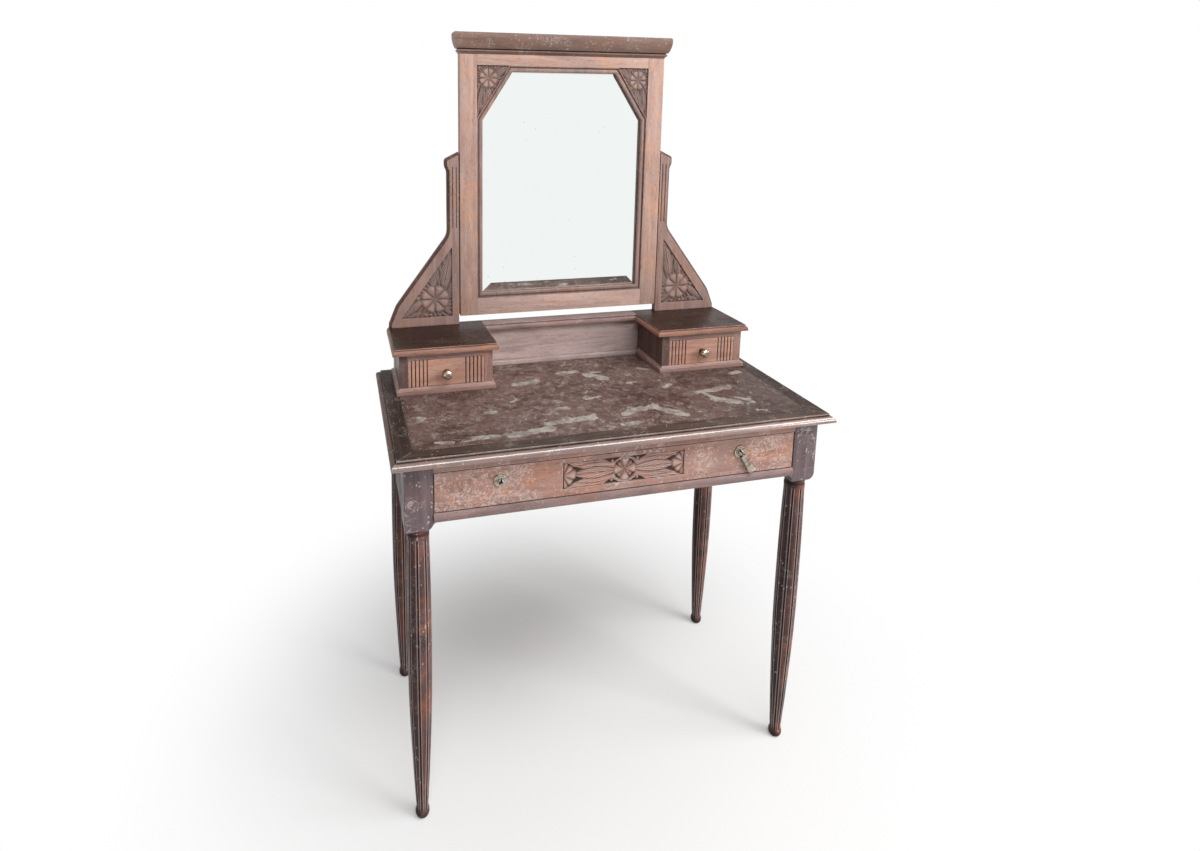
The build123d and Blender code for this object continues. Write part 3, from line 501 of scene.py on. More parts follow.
def wood(
    name, along, pale, deep, cloud, glow, worn, dirt_and_shade=(44, 31, 28), fleck=(206, 190, 182),
    clouds=0.5, glows=0.4, wear=0.5, curls=0.15, flecks=0.15, holes=0.5,
    gloss=(0.36, 0.58), shine=0.35, coat=0, facing_shade=None,
):
    """Old polished wood with its grain along one axis.

    pale and deep are the colours of the grain, cloud and glow tint broad patches,
    worn shows on rubbed edges and on ridges, where the ridge number
    stands for rubbed wear and a painted highlight, and dirt_and_shade is the colour of
    dirt in pores and holes and of dirt and painted shade in corners and hollows. gloss is
    the roughness of good polish and of worn polish. facing_shade paints shade on the
    faces that look one way, as darker colours of their own: the way, how squarely they
    look that way where those colours start and where they are full, and the pale and deep one.
    """
    b, shader, made = material(name)
    place = b.place()
    grain = b.group(GRAIN, Vector=place, Stretch=STRETCHES[along])
    rub = b.group(WEAR, Vector=place, Reach=EASED)
    scuff = b.group(SCUFFS, Vector=place, More=b.times(b.value("scuffed"), 0.14))
    colour = b.mix(grain["Broad"], deep, pale)
    colour = b.mix(b.times(scuff["Clouds"], clouds), colour, cloud)
    colour = b.mix(b.times(scuff["Glow"], glows), colour, glow)
    colour = b.mix(b.times(grain["Fine"], 0.3), colour, deep)
    # Painted shade: faces that look one way take darker colours of their own.
    if facing_shade:
        way, start, full, pale_there, deep_there = facing_shade
        normal = b.add("TexCoord", {}).outputs["Normal"]
        squarely = b.vectors("DOT_PRODUCT", normal, way)["Value"]
        there = b.mix(grain["Broad"], deep_there, pale_there)
        colour = b.mix(b.step(squarely, start, full), colour, there)
    if facing_shade and coat:
        coat = b.step(squarely, start, full, coat, 0)
    colour = b.mix(b.times(grain["Pores"], 0.4), colour, dirt_and_shade)
    bare = b.plus(b.value("bare"), b.times(b.noise(place, 55, 4, 0.6), 0.8))
    raw = b.mix(grain["Fine"], (196, 138, 108), (162, 108, 84))
    colour = b.mix(b.step(bare, 0.7, 1.1), colour, raw)
    colour = b.mix(b.times(scuff["Curls"], curls), colour, fleck)
    colour = b.mix(b.times(scuff["Flecks"], flecks), colour, fleck)
    # Worn colour on rubbed edges, and on ridges as rubbed wear with a painted highlight.
    colour = b.mix(b.larger(b.times(rub["Edge"], wear), b.value("ridge")), colour, worn)
    colour = b.mix(b.times(scuff["Holes"], holes), colour, dirt_and_shade)
    # Dirt and painted shade in hollows and corners, from the mesh's hollow numbers and ambient occlusion.
    hollow = b.larger(b.value("hollow"), b.times(rub["DirtAndShade"], 0.7))
    dull = b.plus(b.times(scuff["Clouds"], 0.6), b.times(grain["Fine"], 0.4))
    lift = b.minus(b.times(grain["Fine"], 0.3), b.times(grain["Pores"], 0.5))
    lift = b.minus(b.plus(lift, b.times(scuff["Curls"], curls)), scuff["Holes"])
    b.fill(shader, {
        "Base Color": b.mix(hollow, colour, dirt_and_shade),
        "Roughness": b.step(b.plus(dull, hollow), 0, 1, *gloss),
        "Specular IOR Level": shine,
        "Coat Weight": coat,
        "Coat Roughness": 0.2,
        "Coat IOR": 2,
        "Normal": b.bump(lift, 0.5, 0.0005, rub["Normal"]),
    })
    return made


def marble(name):
    """Polished red-brown stone: clouds, dark specks, thin light veins and pale shell patches.

    The slab is darker towards its right end: painted shade.
    """
    b, shader, made = material(name)
    place = b.place()
    clouds = b.noise(place, 9, 6, 0.6, 1.5)
    mottle = b.noise(place, 52, 5, 0.65, 0.8)
    specks = b.noise(place, 120, 3, 0.7)
    colour = b.mix(b.step(clouds, 0.34, 0.66), (83, 60, 55), (117, 92, 86))
    colour = b.mix(b.step(mottle, 0.42, 0.7, 0, 0.6), colour, (134, 118, 112))
    colour = b.mix(b.step(specks, 0.54, 0.66, 0, 0.7), colour, (60, 42, 38))
    for scale, strength in ((9, 0.75), (23, 0.6)):
        off = b.math("ABSOLUTE", b.minus(b.noise(place, scale, 4, 0.6, 2), 0.5))
        vein = b.times(b.step(off, 0, 0.014, strength, 0), b.step(mottle, 0.4, 0.6))
        colour = b.mix(vein, colour, (172, 160, 150))
    # Painted shade: darker towards the right end.
    colour = b.mix(b.step(b.parts(place)["X"], 0.1, 0.38, 0, 0.45), colour, (52, 36, 31))
    torn = b.minus(b.noise(place, 52, 6, 0.68, 0.6), 0.5)
    uneven = b.minus(b.noise(place, 19, 3, 0.5, 1.2), 0.5)
    torn = b.plus(b.times(torn, 2.4), b.times(uneven, 1.6))
    patches = b.step(b.plus(b.value("pale"), torn), 0.48, 0.58)
    chips = b.step(b.noise(place, 40, 4, 0.6, 1.5), 0.64, 0.69, 0, 0.7)
    shell = b.mix(b.step(b.noise(place, 60, 5, 0.6), 0.35, 0.65), (128, 118, 112), (172, 163, 155))
    colour = b.mix(b.larger(patches, chips), colour, shell)
    rub = b.group(WEAR, Vector=place, Reach=EASED)
    colour = b.mix(b.times(rub["Edge"], 0.5), colour, (168, 150, 138))
    b.fill(shader, {
        # Dirt and painted shade in corners, from ambient occlusion.
        "Base Color": b.mix(b.times(rub["DirtAndShade"], 0.7), colour, (46, 34, 30)),
        "Roughness": b.step(b.noise(place, 24, 5, 0.6), 0.35, 0.75, 0.2, 0.42),
        "Specular IOR Level": 0.05,
        "Normal": b.bump(mottle, 0.2, 0.0004, rub["Normal"]),
    })
    return made


def brass(name, bright, dark, rough, neck=None, hole=None):
    """Old metal: bright where hands rub it, brown in its hollows, with fine scratches.

    The brown in its hollows is tarnish and painted shade. Behind the plane y = neck, in metres,
    it is as brown as in a hollow, as painted shade on the stem, and so it is in line with
    hole, seen from the front, as painted shade in the hole.
    """
    b, shader, made = material(name)
    place = b.place()
    rub = b.group(WEAR, Vector=place, Reach=0.0006)
    tarnish = b.noise(place, 190, 4, 0.65)
    colour = b.mix(b.step(tarnish, 0.4, 0.68), bright, dark)
    colour = b.mix(b.times(rub["Edge"], 0.6), colour, bright)
    # Tarnish and painted shade in hollows.
    hollow = b.larger(b.value("hollow"), b.times(rub["DirtAndShade"], 0.9))
    # Painted shade on the stem behind the knob's face.
    if neck:
        y = b.parts(place)["Y"]
        hollow = b.larger(hollow, b.step(y, neck - 0.002, neck + 0.001, 0, 0.8))
    # Painted shade in the rosette's hole.
    if hole:
        away = b.vectors("DISTANCE", b.stretch(place, (1, 0, 1)), hole)["Value"]
        hollow = b.larger(hollow, b.step(away, 0.0028, 0.0042, 1, 0))
    scratch = b.noise(b.stretch(place, (1, 1, 0.15)), 2600, 2)
    b.fill(shader, {
        "Base Color": b.mix(hollow, colour, (40, 31, 24)),
        "Metallic": 1,
        "Roughness": b.step(tarnish, 0.3, 0.7, rough, rough + 0.22),
        "Normal": b.bump(scratch, 0.2, 0.0002, rub["Normal"]),
    })
    return made


def silvered_glass(name):
    """Silvered glass with a few dark specks where the silver has gone."""
    b, shader, made = material(name)
    place = b.place()
    speck = b.step(b.cells(place, 55), 0.03, 0.06, 1, 0)
    loss = b.times(speck, b.step(b.noise(place, 9, 3), 0.5, 0.6))
    b.fill(shader, {
        "Base Color": b.mix(loss, (240, 244, 242), (110, 104, 98)),
        "Metallic": 1,
        "Roughness": b.step(b.noise(place, 6, 4, 0.6), 0.3, 0.8, 0.01, 0.045),
    })
    return made


# Faces that look up, any way but to the front, or to the left, which take painted shade: the way, and how
# squarely they look that way where their darker colours start and are full.
UPWARD = ((0, 0, 1), 0.93, 0.99)
NOT_FRONT = ((0, -1, 0), 0.95, 0.8)
LEFTWARD = ((-1, 0, 0), 0.1, 0.75)
WARM = dict(
    pale=(200, 166, 150), deep=(160, 124, 110), cloud=(178, 154, 148), glow=(208, 152, 122),
    worn=(222, 192, 178), glows=0.45,
)
EDGE = dict(
    pale=(136, 108, 98), deep=(92, 70, 63), cloud=(118, 98, 92), glow=(144, 98, 76),
    worn=(214, 196, 184), wear=0.85, curls=0.25, flecks=0.45, gloss=(0.28, 0.5), shine=0.08,
    # Painted shade on the faces that look up.
    facing_shade=(*UPWARD, (86, 67, 59), (52, 39, 34)),
)
CASE = dict(
    pale=(178, 142, 130), deep=(134, 104, 96), cloud=(152, 130, 128), glow=(186, 128, 102),
    worn=(214, 174, 154), glows=0.35, wear=0.75, gloss=(0.3, 0.5),
)
FINISHES = {
    "warm": WARM,
    "pale": WARM | dict(pale=(214, 184, 172), deep=(176, 144, 134), glow=(216, 170, 146)),
    "bracket": WARM | dict(
        pale=(176, 144, 132), deep=(136, 106, 96), cloud=(152, 132, 130), glow=(186, 134, 108),
        # Painted shade on the faces that look away from the front.
        shine=0.2, facing_shade=(*NOT_FRONT, (108, 80, 71), (84, 60, 53)),
    ),
    "carved": WARM | dict(
        pale=(166, 136, 126), deep=(124, 97, 89), cloud=(140, 122, 118), glow=(180, 130, 106),
        wear=0.7, glows=0.35, dirt_and_shade=(46, 32, 30),
    ),
    "amber": dict(
        pale=(214, 168, 148), deep=(168, 121, 103), cloud=(182, 144, 132), glow=(216, 158, 128),
        worn=(224, 184, 162), glows=0.5, gloss=(0.3, 0.5),
    ),
    "case": CASE,
    # Painted shade: a darker copy of the case finish, for the cabinet sides that look left.
    "shaded": CASE | dict(
        pale=(122, 98, 92), deep=(88, 68, 64), cloud=(104, 90, 90), glow=(122, 84, 70),
        worn=(180, 146, 130), shine=0.1,
    ),
    "faded": dict(
        pale=(204, 182, 178), deep=(162, 140, 136), cloud=(184, 170, 170), glow=(196, 160, 144),
        worn=(214, 196, 188), glows=0.25, curls=0.2, flecks=0.2,
    ),
    "rubbed": dict(
        pale=(184, 148, 136), deep=(140, 103, 92), cloud=(164, 136, 130), glow=(196, 134, 104),
        worn=(226, 204, 192), fleck=(222, 206, 198), glows=0.5, wear=0.7, curls=0.42,
        flecks=0.4, holes=0.7, gloss=(0.42, 0.65),
    ),
    "rail": dict(
        pale=(156, 128, 122), deep=(113, 88, 83), cloud=(138, 122, 124), glow=(154, 110, 92),
        worn=(204, 180, 172), wear=0.7, curls=0.2, flecks=0.3,
    ),
    "block": dict(
        pale=(124, 106, 108), deep=(86, 71, 75), cloud=(112, 101, 108), glow=(126, 92, 84),
        worn=(200, 188, 184), glows=0.3, wear=0.8, curls=0.5, flecks=0.75,
    ),
    "shaft": dict(
        pale=(128, 88, 77), deep=(60, 42, 42), cloud=(92, 76, 82), glow=(160, 96, 68),
        worn=(206, 190, 184), clouds=0.55, glows=0.6, flecks=0.5, dirt_and_shade=(20, 14, 17),
        # Painted shade on the faces that look left.
        gloss=(0.26, 0.5), shine=0.12, facing_shade=(*LEFTWARD, (74, 54, 55), (36, 26, 28)),
    ),
    # The side aprons' dark colours are painted shade under the top.
    "apron": dict(
        pale=(88, 72, 68), deep=(58, 46, 44), cloud=(76, 68, 66), glow=(92, 66, 56),
        worn=(164, 140, 130), curls=0.08, shine=0.1,
    ),
    "cornice": dict(
        pale=(138, 110, 97), deep=(102, 76, 66), cloud=(120, 98, 90), glow=(138, 97, 78),
        worn=(196, 168, 150), wear=0.6, curls=0.25, flecks=0.35, holes=0.8,
    ),
    "nose": EDGE | dict(pale=(156, 120, 108), deep=(108, 80, 72), coat=1),
    # Painted shade, darker still, on the tops of the side and back edges.
    "edge": EDGE | dict(facing_shade=(*UPWARD, (68, 48, 40), (40, 28, 24))),
    "lid": dict(
        pale=(180, 138, 120), deep=(128, 92, 80), cloud=(150, 118, 106), glow=(190, 132, 104),
        worn=(222, 180, 158), wear=0.85, curls=0.1, flecks=0.12, gloss=(0.24, 0.42), shine=0.08,
        # Painted shade on the faces that look up.
        facing_shade=(*UPWARD, (68, 48, 41), (44, 30, 26)),
    ),
    "plain": dict(
        pale=(184, 150, 118), deep=(148, 114, 86), cloud=(166, 134, 106), glow=(180, 138, 102),
        worn=(200, 170, 134), wear=0.2, curls=0, flecks=0, holes=0.1, gloss=(0.62, 0.78),
        shine=0.2,
    ),
}
woods = {}


def timber(finish, along):
    """The wood of one finish with its grain along one axis, made once."""
    if (finish, along) not in woods:
        woods[finish, along] = wood(f"{finish}_wood_{along}", along, **FINISHES[finish])
    return woods[finish, along]


STONE = marble("polished_marble")
PULL_BRASS = brass("pull_brass", (190, 178, 164), (124, 108, 94), 0.3)
HOLE_BRASS = brass("hole_brass", (200, 192, 180), (136, 122, 108), 0.3, hole=(-0.2345, 0, 0.6745))
KNOB_BRASS = brass("knob_brass", (214, 204, 180), (130, 114, 90), 0.24, neck=0.05)
STEEL = brass("pin_steel", (150, 146, 140), (104, 98, 92), 0.35)
SILVER = silvered_glass("silvered_glass")


def pairs(*names):
    """The left and right nodes of paired pieces."""
    return [f"{hand}_{name}" for name in names for hand in HANDS]


# The CAD nodes that stay in sight, by finish and grain.
DRESSED = {
    ("rubbed", "x"): ["front_top_rail"],
    ("rail", "x"): ["front_bead_rail", "back_apron", "mirror_shelf"],
    ("apron", "y"): pairs("apron"),
    ("nose", "x"): ["top_front_edge"],
    ("edge", "x"): ["top_back_edge"],
    ("edge", "y"): ["top_left_edge", "top_right_edge"],
    ("lid", "x"): pairs("cabinet_top"),
    ("faded", "x"): ["superstructure_back", "back_skirting"],
    ("case", "x"): pairs("cabinet_base", "cabinet_rail"),
    ("case", "z"): ["left_cabinet_inner_side", "right_cabinet_outer_side"],
    # The cabinet sides that look left take the painted shade copy.
    ("shaded", "z"): ["left_cabinet_outer_side", "right_cabinet_inner_side"],
    ("bracket", "z"): pairs("bracket"),
    ("plain", "x"): [
        "marble_bed", "drawer_back", "drawer_bottom", "mirror_backboard",
        *pairs("small_drawer_back", "small_drawer_bottom"),
    ],
    ("plain", "y"): [
        "drawer_kickers", "drawer_left_side", "drawer_right_side",
        *pairs("drawer_runner", "small_drawer_sides"),
    ],
}


def dress(node, finish):
    """Gives a CAD node its finish."""
    slots = NODES[node].data.materials
    if len(slots):
        slots[0] = finish
    else:
        slots.append(finish)


for (finish, along), nodes in DRESSED.items():
    for node in nodes:
        dress(node, timber(finish, along))
dress("left_rosette", HOLE_BRASS)
dress("right_rosette", PULL_BRASS)
for node in pairs("knob"):
    dress(node, KNOB_BRASS)
dress("mirror_pivots", STEEL)


# --- Legs ---

# The shaft's radius at heights over the floor, from the foot's bulb to the collar.
LEG_RADII = [
    (0, 8.0), (3, 10.8), (7, 12.6), (11, 13.1), (15, 12.8), (18, 11.8), (22, 11.4),
    (34, 12.2), (61, 13.6), (90, 15.2), (120, 16.5), (160, 18.3), (200, 19.9), (240, 21.1),
    (300, 22.1), (365, 22.4), (430, 22.2), (520, 21.2), (594, 19.8), (612, 19.8),
]
LEG_X, LEG_Y = 376, 174  # from the middle of the table to the middle of a leg
BLOCK_FOOT = 598  # height of the block's lower end
SHAFT_TOP = 612  # height of the shaft's upper end, inside the block
FACETS = 8
GROOVE = 1.9  # half the width of the groove between two facets


def leg(name, turned=0.0):
    """A square block on a fluted shaft, in two closed tubes.

    The shaft's radius is a smooth curve of height. Round it the radius dips a
    little between the edges of a facet, as a flat does, and a V-groove parts each
    facet from the next. Both fade out at the plain collar under the block and at
    the bulb of the foot. turned swings the facets round the leg, in degrees.
    """
    low, high = limits(name)
    foot, shin, collar = (0, 30, 21), (33, 570, 90), (573, SHAFT_TOP, 40)
    heights = np.concatenate([np.linspace(*run) for run in (foot, shin, collar)])
    radius = smooth_curve(LEG_RADII, heights)[:, None]
    fluted = (ease(heights, 14, 30) * (1 - ease(heights, 572, 582)))[:, None]
    neck = ease(heights, 583, 586) * (1 - ease(heights, 589, 591))
    neck = (neck + ease(heights, 594.5, 596) * (1 - ease(heights, 597.5, 598.5)))[:, None]
    turn = np.arange(FACETS * 18) / (FACETS * 18) * 2 * math.pi
    facet = math.pi / FACETS
    off = np.abs((turn + facet) % (2 * facet) - facet)
    turn = turn + math.radians(turned)
    flat = np.cos(facet) / np.cos(facet - off) - 1
    away = off * radius
    groove = np.clip(1 - away / GROOVE, 0, 1)
    across = radius * (1 + fluted * 0.6 * flat) - fluted * 0.12 * radius * groove - 1.1 * neck
    stack = np.empty(across.shape + (3,))
    stack[..., 0] = math.copysign(LEG_X, low[0]) + across * np.cos(turn)
    stack[..., 1] = math.copysign(LEG_Y, low[1]) + across * np.sin(turn)
    stack[..., 2] = heights[:, None]
    square = block((low[0], low[1], BLOCK_FOOT), high, 1.2, corner=14)
    rows, columns = square.shape[:2]
    # Dirt and painted shade in the grooves, at the neck and on the foot's lower end.
    soil_and_shade = np.maximum(np.clip(groove * 1.4, 0, 1) * fluted, 0.6 * neck)
    soil_and_shade = np.maximum(soil_and_shade, 0.6 * (1 - ease(heights, 9, 17))[:, None])
    # Rubbed wear and a painted highlight just beside each groove.
    ridge = 0.6 * fluted * line(away - 2.6, 0.6)
    plain = np.zeros(rows * columns)
    shape = tubes([square, stack], hollow=np.append(plain, soil_and_shade), ridge=np.append(plain, ridge))
    finishes = (timber("block", "z"), timber("shaft", "z"))
    block_faces = (rows - 1) * columns + 2
    put(name + "_fluted", shape, finishes, "table", [name], split=block_faces)


leg("front_left_leg", -12)
leg("front_right_leg", 4)
leg("back_left_leg")
leg("back_right_leg")


# --- Marble ---

# Pale shell patches in the slab: a line from one place to another, and its half width.
SHELLS = (
    ((-137, 62), (-96, 74), 11), ((-36, 104), (8, 108), 9), ((24, 82), (52, 58), 12),
    ((40, 92), (60, 96), 5), ((27, -124), (60, -108), 8), ((60, -108), (95, -106), 13),
    ((95, -106), (140, -154), 10), ((215, -58), (250, -54), 8), ((250, -54), (290, -48), 10),
    ((236, -100), (282, -124), 12), ((236, -100), (225, -60), 6), ((282, -100), (300, -128), 6),
    ((-128, -134), (-86, -128), 8), ((-86, -128), (-42, -124), 12), ((-60, -128), (-30, -112), 5),
    ((-206, -164), (-165, -158), 9), ((-165, -158), (-128, -152), 12), ((-290, -163), (-240, -160), 8),
    ((-240, -160), (-215, -156), 6), ((-340, -160), (-312, -166), 5), ((8, -166), (40, -162), 6),
    ((-358, -66), (-352, -56), 8), ((-96, -74), (-74, -72), 6), ((288, -166), (304, -168), 6),
    ((338, 20), (360, 26), 7), ((150, 96), (172, 84), 6), ((-230, -60), (-212, -58), 5),
    ((92, 20), (116, 24), 4), ((160, -20), (176, -8), 5), ((-20, -40), (10, -34), 4),
    ((-170, -20), (-156, -14), 4),
)
SLAB_ROUND = 1.2  # radius of the slab's upper edge


def slab():
    """The marble slab, with a quarter-round polished edge round its top.

    Its top is a grid whose points say how pale the stone is there: 1 within a
    shell patch, falling to 0 over a few millimetres. It is worked as a relief
    board and then laid flat, so that its depth becomes its height.
    """
    low, high = limits("marble_top")
    inset = SLAB_ROUND * (1 - np.cos(np.linspace(0, math.pi / 2, 4)))[:-1]
    sides = []
    for a, count in ((0, 290), (1, 140)):
        middle = np.linspace(low[a] + SLAB_ROUND, high[a] - SLAB_ROUND, count)
        sides.append(np.concatenate([low[a] + inset, middle, high[a] - inset[::-1]]))
    x, y = np.meshgrid(*sides)
    z = high[2] - round_inset(to_rim(x, y, low, high), SLAB_ROUND)
    pale = np.zeros_like(x)
    for start, end, half in SHELLS:
        run = np.subtract(end, start)
        t = np.clip(((x - start[0]) * run[0] + (y - start[1]) * run[1]) / (run @ run), 0, 1)
        away = np.hypot(x - start[0] - t * run[0], y - start[1] - t * run[1])
        pale = np.maximum(pale, np.clip(1.4 - 0.9 * away / half, 0, 1))
    points, *rest = relief_board(x, -z, y, -low[2], pale=pale)
    shape = (points[:, [0, 2, 1]] * (1, 1, -1), *rest)
    put("marble_slab", shape, STONE, "table", ["marble_top"])


slab()


# --- Cornice ---

FRAME_HALF = 234.5  # half the width of the mirror frame
FRAME_FRONT = 202  # where its front lies
# How far the cornice stands out from the frame at each height, from the bottom up: a
# small hollow, a bead, a quirk, and a broad swelling face with a rounded top.
CORNICE = np.array([
    (0.0, 1428.0), (0.6, 1429.3), (1.7, 1430.6), (3.0, 1431.8), (3.3, 1432.4), (4.1, 1432.8),
    (4.7, 1433.6), (4.9, 1434.6), (4.7, 1435.6), (4.1, 1436.4), (2.4, 1436.8), (2.2, 1438.8),
    (6.4, 1439.2), (7.0, 1440.6), (8.0, 1442.4), (9.4, 1445.6), (10.7, 1449.4), (11.8, 1453.6),
    (12.6, 1458.0), (13.0, 1462.0), (13.0, 1468.0), (12.6, 1469.9), (11.6, 1471.3), (10.0, 1472.0),
])
QUIRK = (1436.5, 1439.0)  # between these heights


def cornice():
    """Rectangles stacked up the section of the cornice, in line at the back."""
    node = "mirror_cornice"
    high = limits(node)[1]
    out, z = CORNICE.T
    half = FRAME_HALF + out
    front = FRAME_FRONT - out
    back = np.full_like(out, high[1])
    corners = ((-half, front), (half, front), (half, back), (-half, back))
    stack = np.stack([np.stack([x, y, z], -1) for x, y in corners], 1)
    # Dirt and painted shade in the quirk.
    hollow = np.repeat(np.where((z > QUIRK[0]) & (z < QUIRK[1]), 0.9, 0), len(corners))
    shape = tubes([stack], hollow=hollow)
    put(node + "_moulded", shape, timber("cornice", "x"), "mirror", [node])


cornice()


# --- Apron drawer ---

PANEL_Z = 667.5  # height of the carved panel's middle
PANEL_HALF = 118.5  # half its length
PANEL_DEEP = 4.0  # how far its ground lies behind the drawer's face
CREST = 3.9  # how far the highest carving stands over the ground


def drawer_carving(x, z):
    """Height over the ground of the carved panel on the drawer.

    A flower in the middle, half a flower at each end, and between them a middle
    leaf and two outer leaves, parted by lines and covered in slanting ribs. Deep
    wedges cut in beside the flower, each round a bead, and between the leaves'
    outer ends.
    """
    u = np.abs(x)
    v = np.abs(z - PANEL_Z)
    middle = 3.5 + 7.5 * np.sin(math.pi * np.clip((u - 20) / 74, 0, 1)) ** 0.8
    leaves = CREST - 2.2 * line(v - middle, 1.0) - 1.5 * line(v, 0.8)
    leaves -= 1.5 * line(v - (middle + 27.5) / 2, 0.9)
    leaves -= 0.6 + 0.6 * np.cos(2 * math.pi * (v - 0.2 * u) / 4.2)
    leaves *= ease(np.hypot(u, v), 20.5, 23) * ease(np.hypot(u - PANEL_HALF, v), 23.5, 26)
    leaves *= 1 - ease(10 * (1 - np.abs(u - 26) / 17) - (24.5 - v), 0, 0.8)
    leaves *= 1 - ease(0.36 * (u - 79) - np.abs(v - 9.5), 0, 0.5)
    blossom = flower(x, z, (0, PANEL_Z), 23.5, CREST, 0, 0.68, 0.8, 0.7)
    forms = [
        leaves,
        blossom - 1.6 * line(np.hypot(u - 8.5, v - 8.5), 1.9),
        bead(u, v, (25, 18.5), 3.6, 3.4),
        flower(u, z, (PANEL_HALF, PANEL_Z), 26, CREST, 0, 0.6, 0.92, 0.85),
    ]
    height = highest(forms) - 1.5 * line(v - 24.2, 0.5) - 3.2 * line(u - 117.4, 0.9)
    return np.clip(height, 0, CREST)


# Patches where the drawer's polish has gone: middle, half length and half height.
BARE = (
    (-318, 652, 18, 20), (-225, 650, 34, 24), (-180, 664, 40, 16), (100, 636, 60, 6), (280, 660, 18, 14),
)


def drawer_front():
    """The drawer's front, cut in at the carved panel, with how scuffed and how bare it is."""
    low, high = limits("drawer_front")
    rim = np.array([0, 0.3, 0.8, 1.2, 1.7])
    x = np.concatenate([
        low[0] + rim, np.linspace(low[0] + 6, -122, 60)[:-1], np.arange(-122, 122.01, 0.8),
        np.linspace(122, high[0] - 6, 60)[1:], high[0] - rim[::-1],
    ])
    z = np.concatenate([low[2] + rim, np.arange(641, 695.01, 0.8), high[2] - rim[::-1]])
    x, z = np.meshgrid(x, z)
    panel = ease(PANEL_HALF - np.abs(x), -0.2, 0.9) * ease(z, 642.2, 643.6) * (1 - ease(z, 691.6, 693))
    height = drawer_carving(x, z)
    edge = to_rim(x, z, low[::2], high[::2])
    y = low[1] + panel * (PANEL_DEEP - np.minimum(height, 3.8)) + round_inset(edge, 1.0)
    scuffed = line(x + 318, 60) + 0.75 * line(x + 225, 45) + 0.6 * line(x - 300, 60) + 0.35
    bare = sum(np.clip(1.2 - np.hypot((x - cx) / wide, (z - cz) / tall), 0, 1) for cx, cz, wide, tall in BARE)
    # Dirt and painted shade on the carving's ground and round the rim of the front.
    dirt_and_shade = np.maximum(0.95 * panel * depth_of(height, 3.4), 0.95 * (1 - ease(edge, 0.8, 1.6)))
    # The carving's crests carry rubbed wear and a painted highlight.
    shape = relief_board(
        x, y, z, high[1], hollow=dirt_and_shade, ridge=0.28 * panel * ease(height, 3.3, CREST),
        scuffed=scuffed * (1 - panel), bare=0.5 * np.clip(bare, 0, 1) * (1 - panel),
    )
    put("drawer_front_carved", shape, timber("rubbed", "x"), "apron_drawer", ["drawer_front"])


PIN = np.array([233.5, -202.2, 675.5])  # where the drop hangs
SLANT = math.radians(33)  # how far it hangs off the plumb line
BAR_TOP, BAR_END = 8.2, 49  # down the drop from its pin


def drop_pull():
    """The drop: a flat bar with two cross grooves and a flared end, on a narrow tongue.

    Rounded rectangles are stacked down the bar. Its half width grows evenly, and
    its thickness falls at each groove and swells into the lip.
    """
    side = np.array([math.cos(SLANT), 0, math.sin(SLANT)])
    out = np.array([0, -1.0, 0])
    down = np.array([math.sin(SLANT), 0, -math.cos(SLANT)])

    def bar(t, wide, low, high, radius):
        outline = rounded_rectangle(np.stack([-wide, low], -1), np.stack([wide, high], -1), radius)
        return PIN + outline[..., :1] * side + outline[..., 1:] * out + t[:, None, None] * down

    t = np.concatenate([[BAR_TOP, 8.5], np.linspace(9.2, 44, 60), np.linspace(44.5, BAR_END, 10)])
    cut = sum(line(t - place, 0.8) for place in (22.5, 32.5))
    ends = round_inset(t - BAR_TOP, 1.0) + round_inset(BAR_END - t, 1.4)
    wide = 5.25 + 2.25 * (t - BAR_TOP) / 40.8 - ends - 0.25 * cut
    lip = 1.8 * ease(t, 43, 48)
    rear = -1.6 + 0.3 * cut + 0.5 * ends
    blade = bar(t, wide, rear, 1.6 + lip - 0.55 * cut - 0.7 * ends, np.full_like(t, 0.75))
    t = np.array([-1.0, -0.6, 0.0, 4.0, 9.4, 9.8])
    wide = np.array([0.9, 1.25, 1.3, 1.3, 1.3, 1.0])
    tongue = bar(t, wide, np.full(6, -1.1), np.full(6, 1.1), np.full(6, 0.4))
    turn = np.arange(20) / 20 * 2 * math.pi
    steps = np.array([-3.8, -3.6, 3.6, 3.8])[:, None, None]
    radius = np.array([0.6, 0.9, 0.9, 0.6])[:, None, None]
    rod = PIN + steps * side + radius * (np.cos(turn)[:, None] * out + np.sin(turn)[:, None] * down)
    # Tarnish and painted shade in the cross grooves, and painted shade on the tongue and pin inside the
    # rosette.
    hollow = np.concatenate([
        np.repeat(np.clip(cut, 0, 0.8), blade.shape[1]),
        np.full(tongue.size // 3, 0.45),
        np.full(rod.size // 3, 0.3),
    ])
    shape = tubes([blade, tongue, rod], hollow=hollow)
    put("drop_pull_bar", shape, PULL_BRASS, "drop_pull", ["drop_pull"])


drawer_front()
drop_pull()


# --- Small drawers ---

REEDS = 40.0  # length of the reeded part at each end
REED = 8.0  # width of one reed


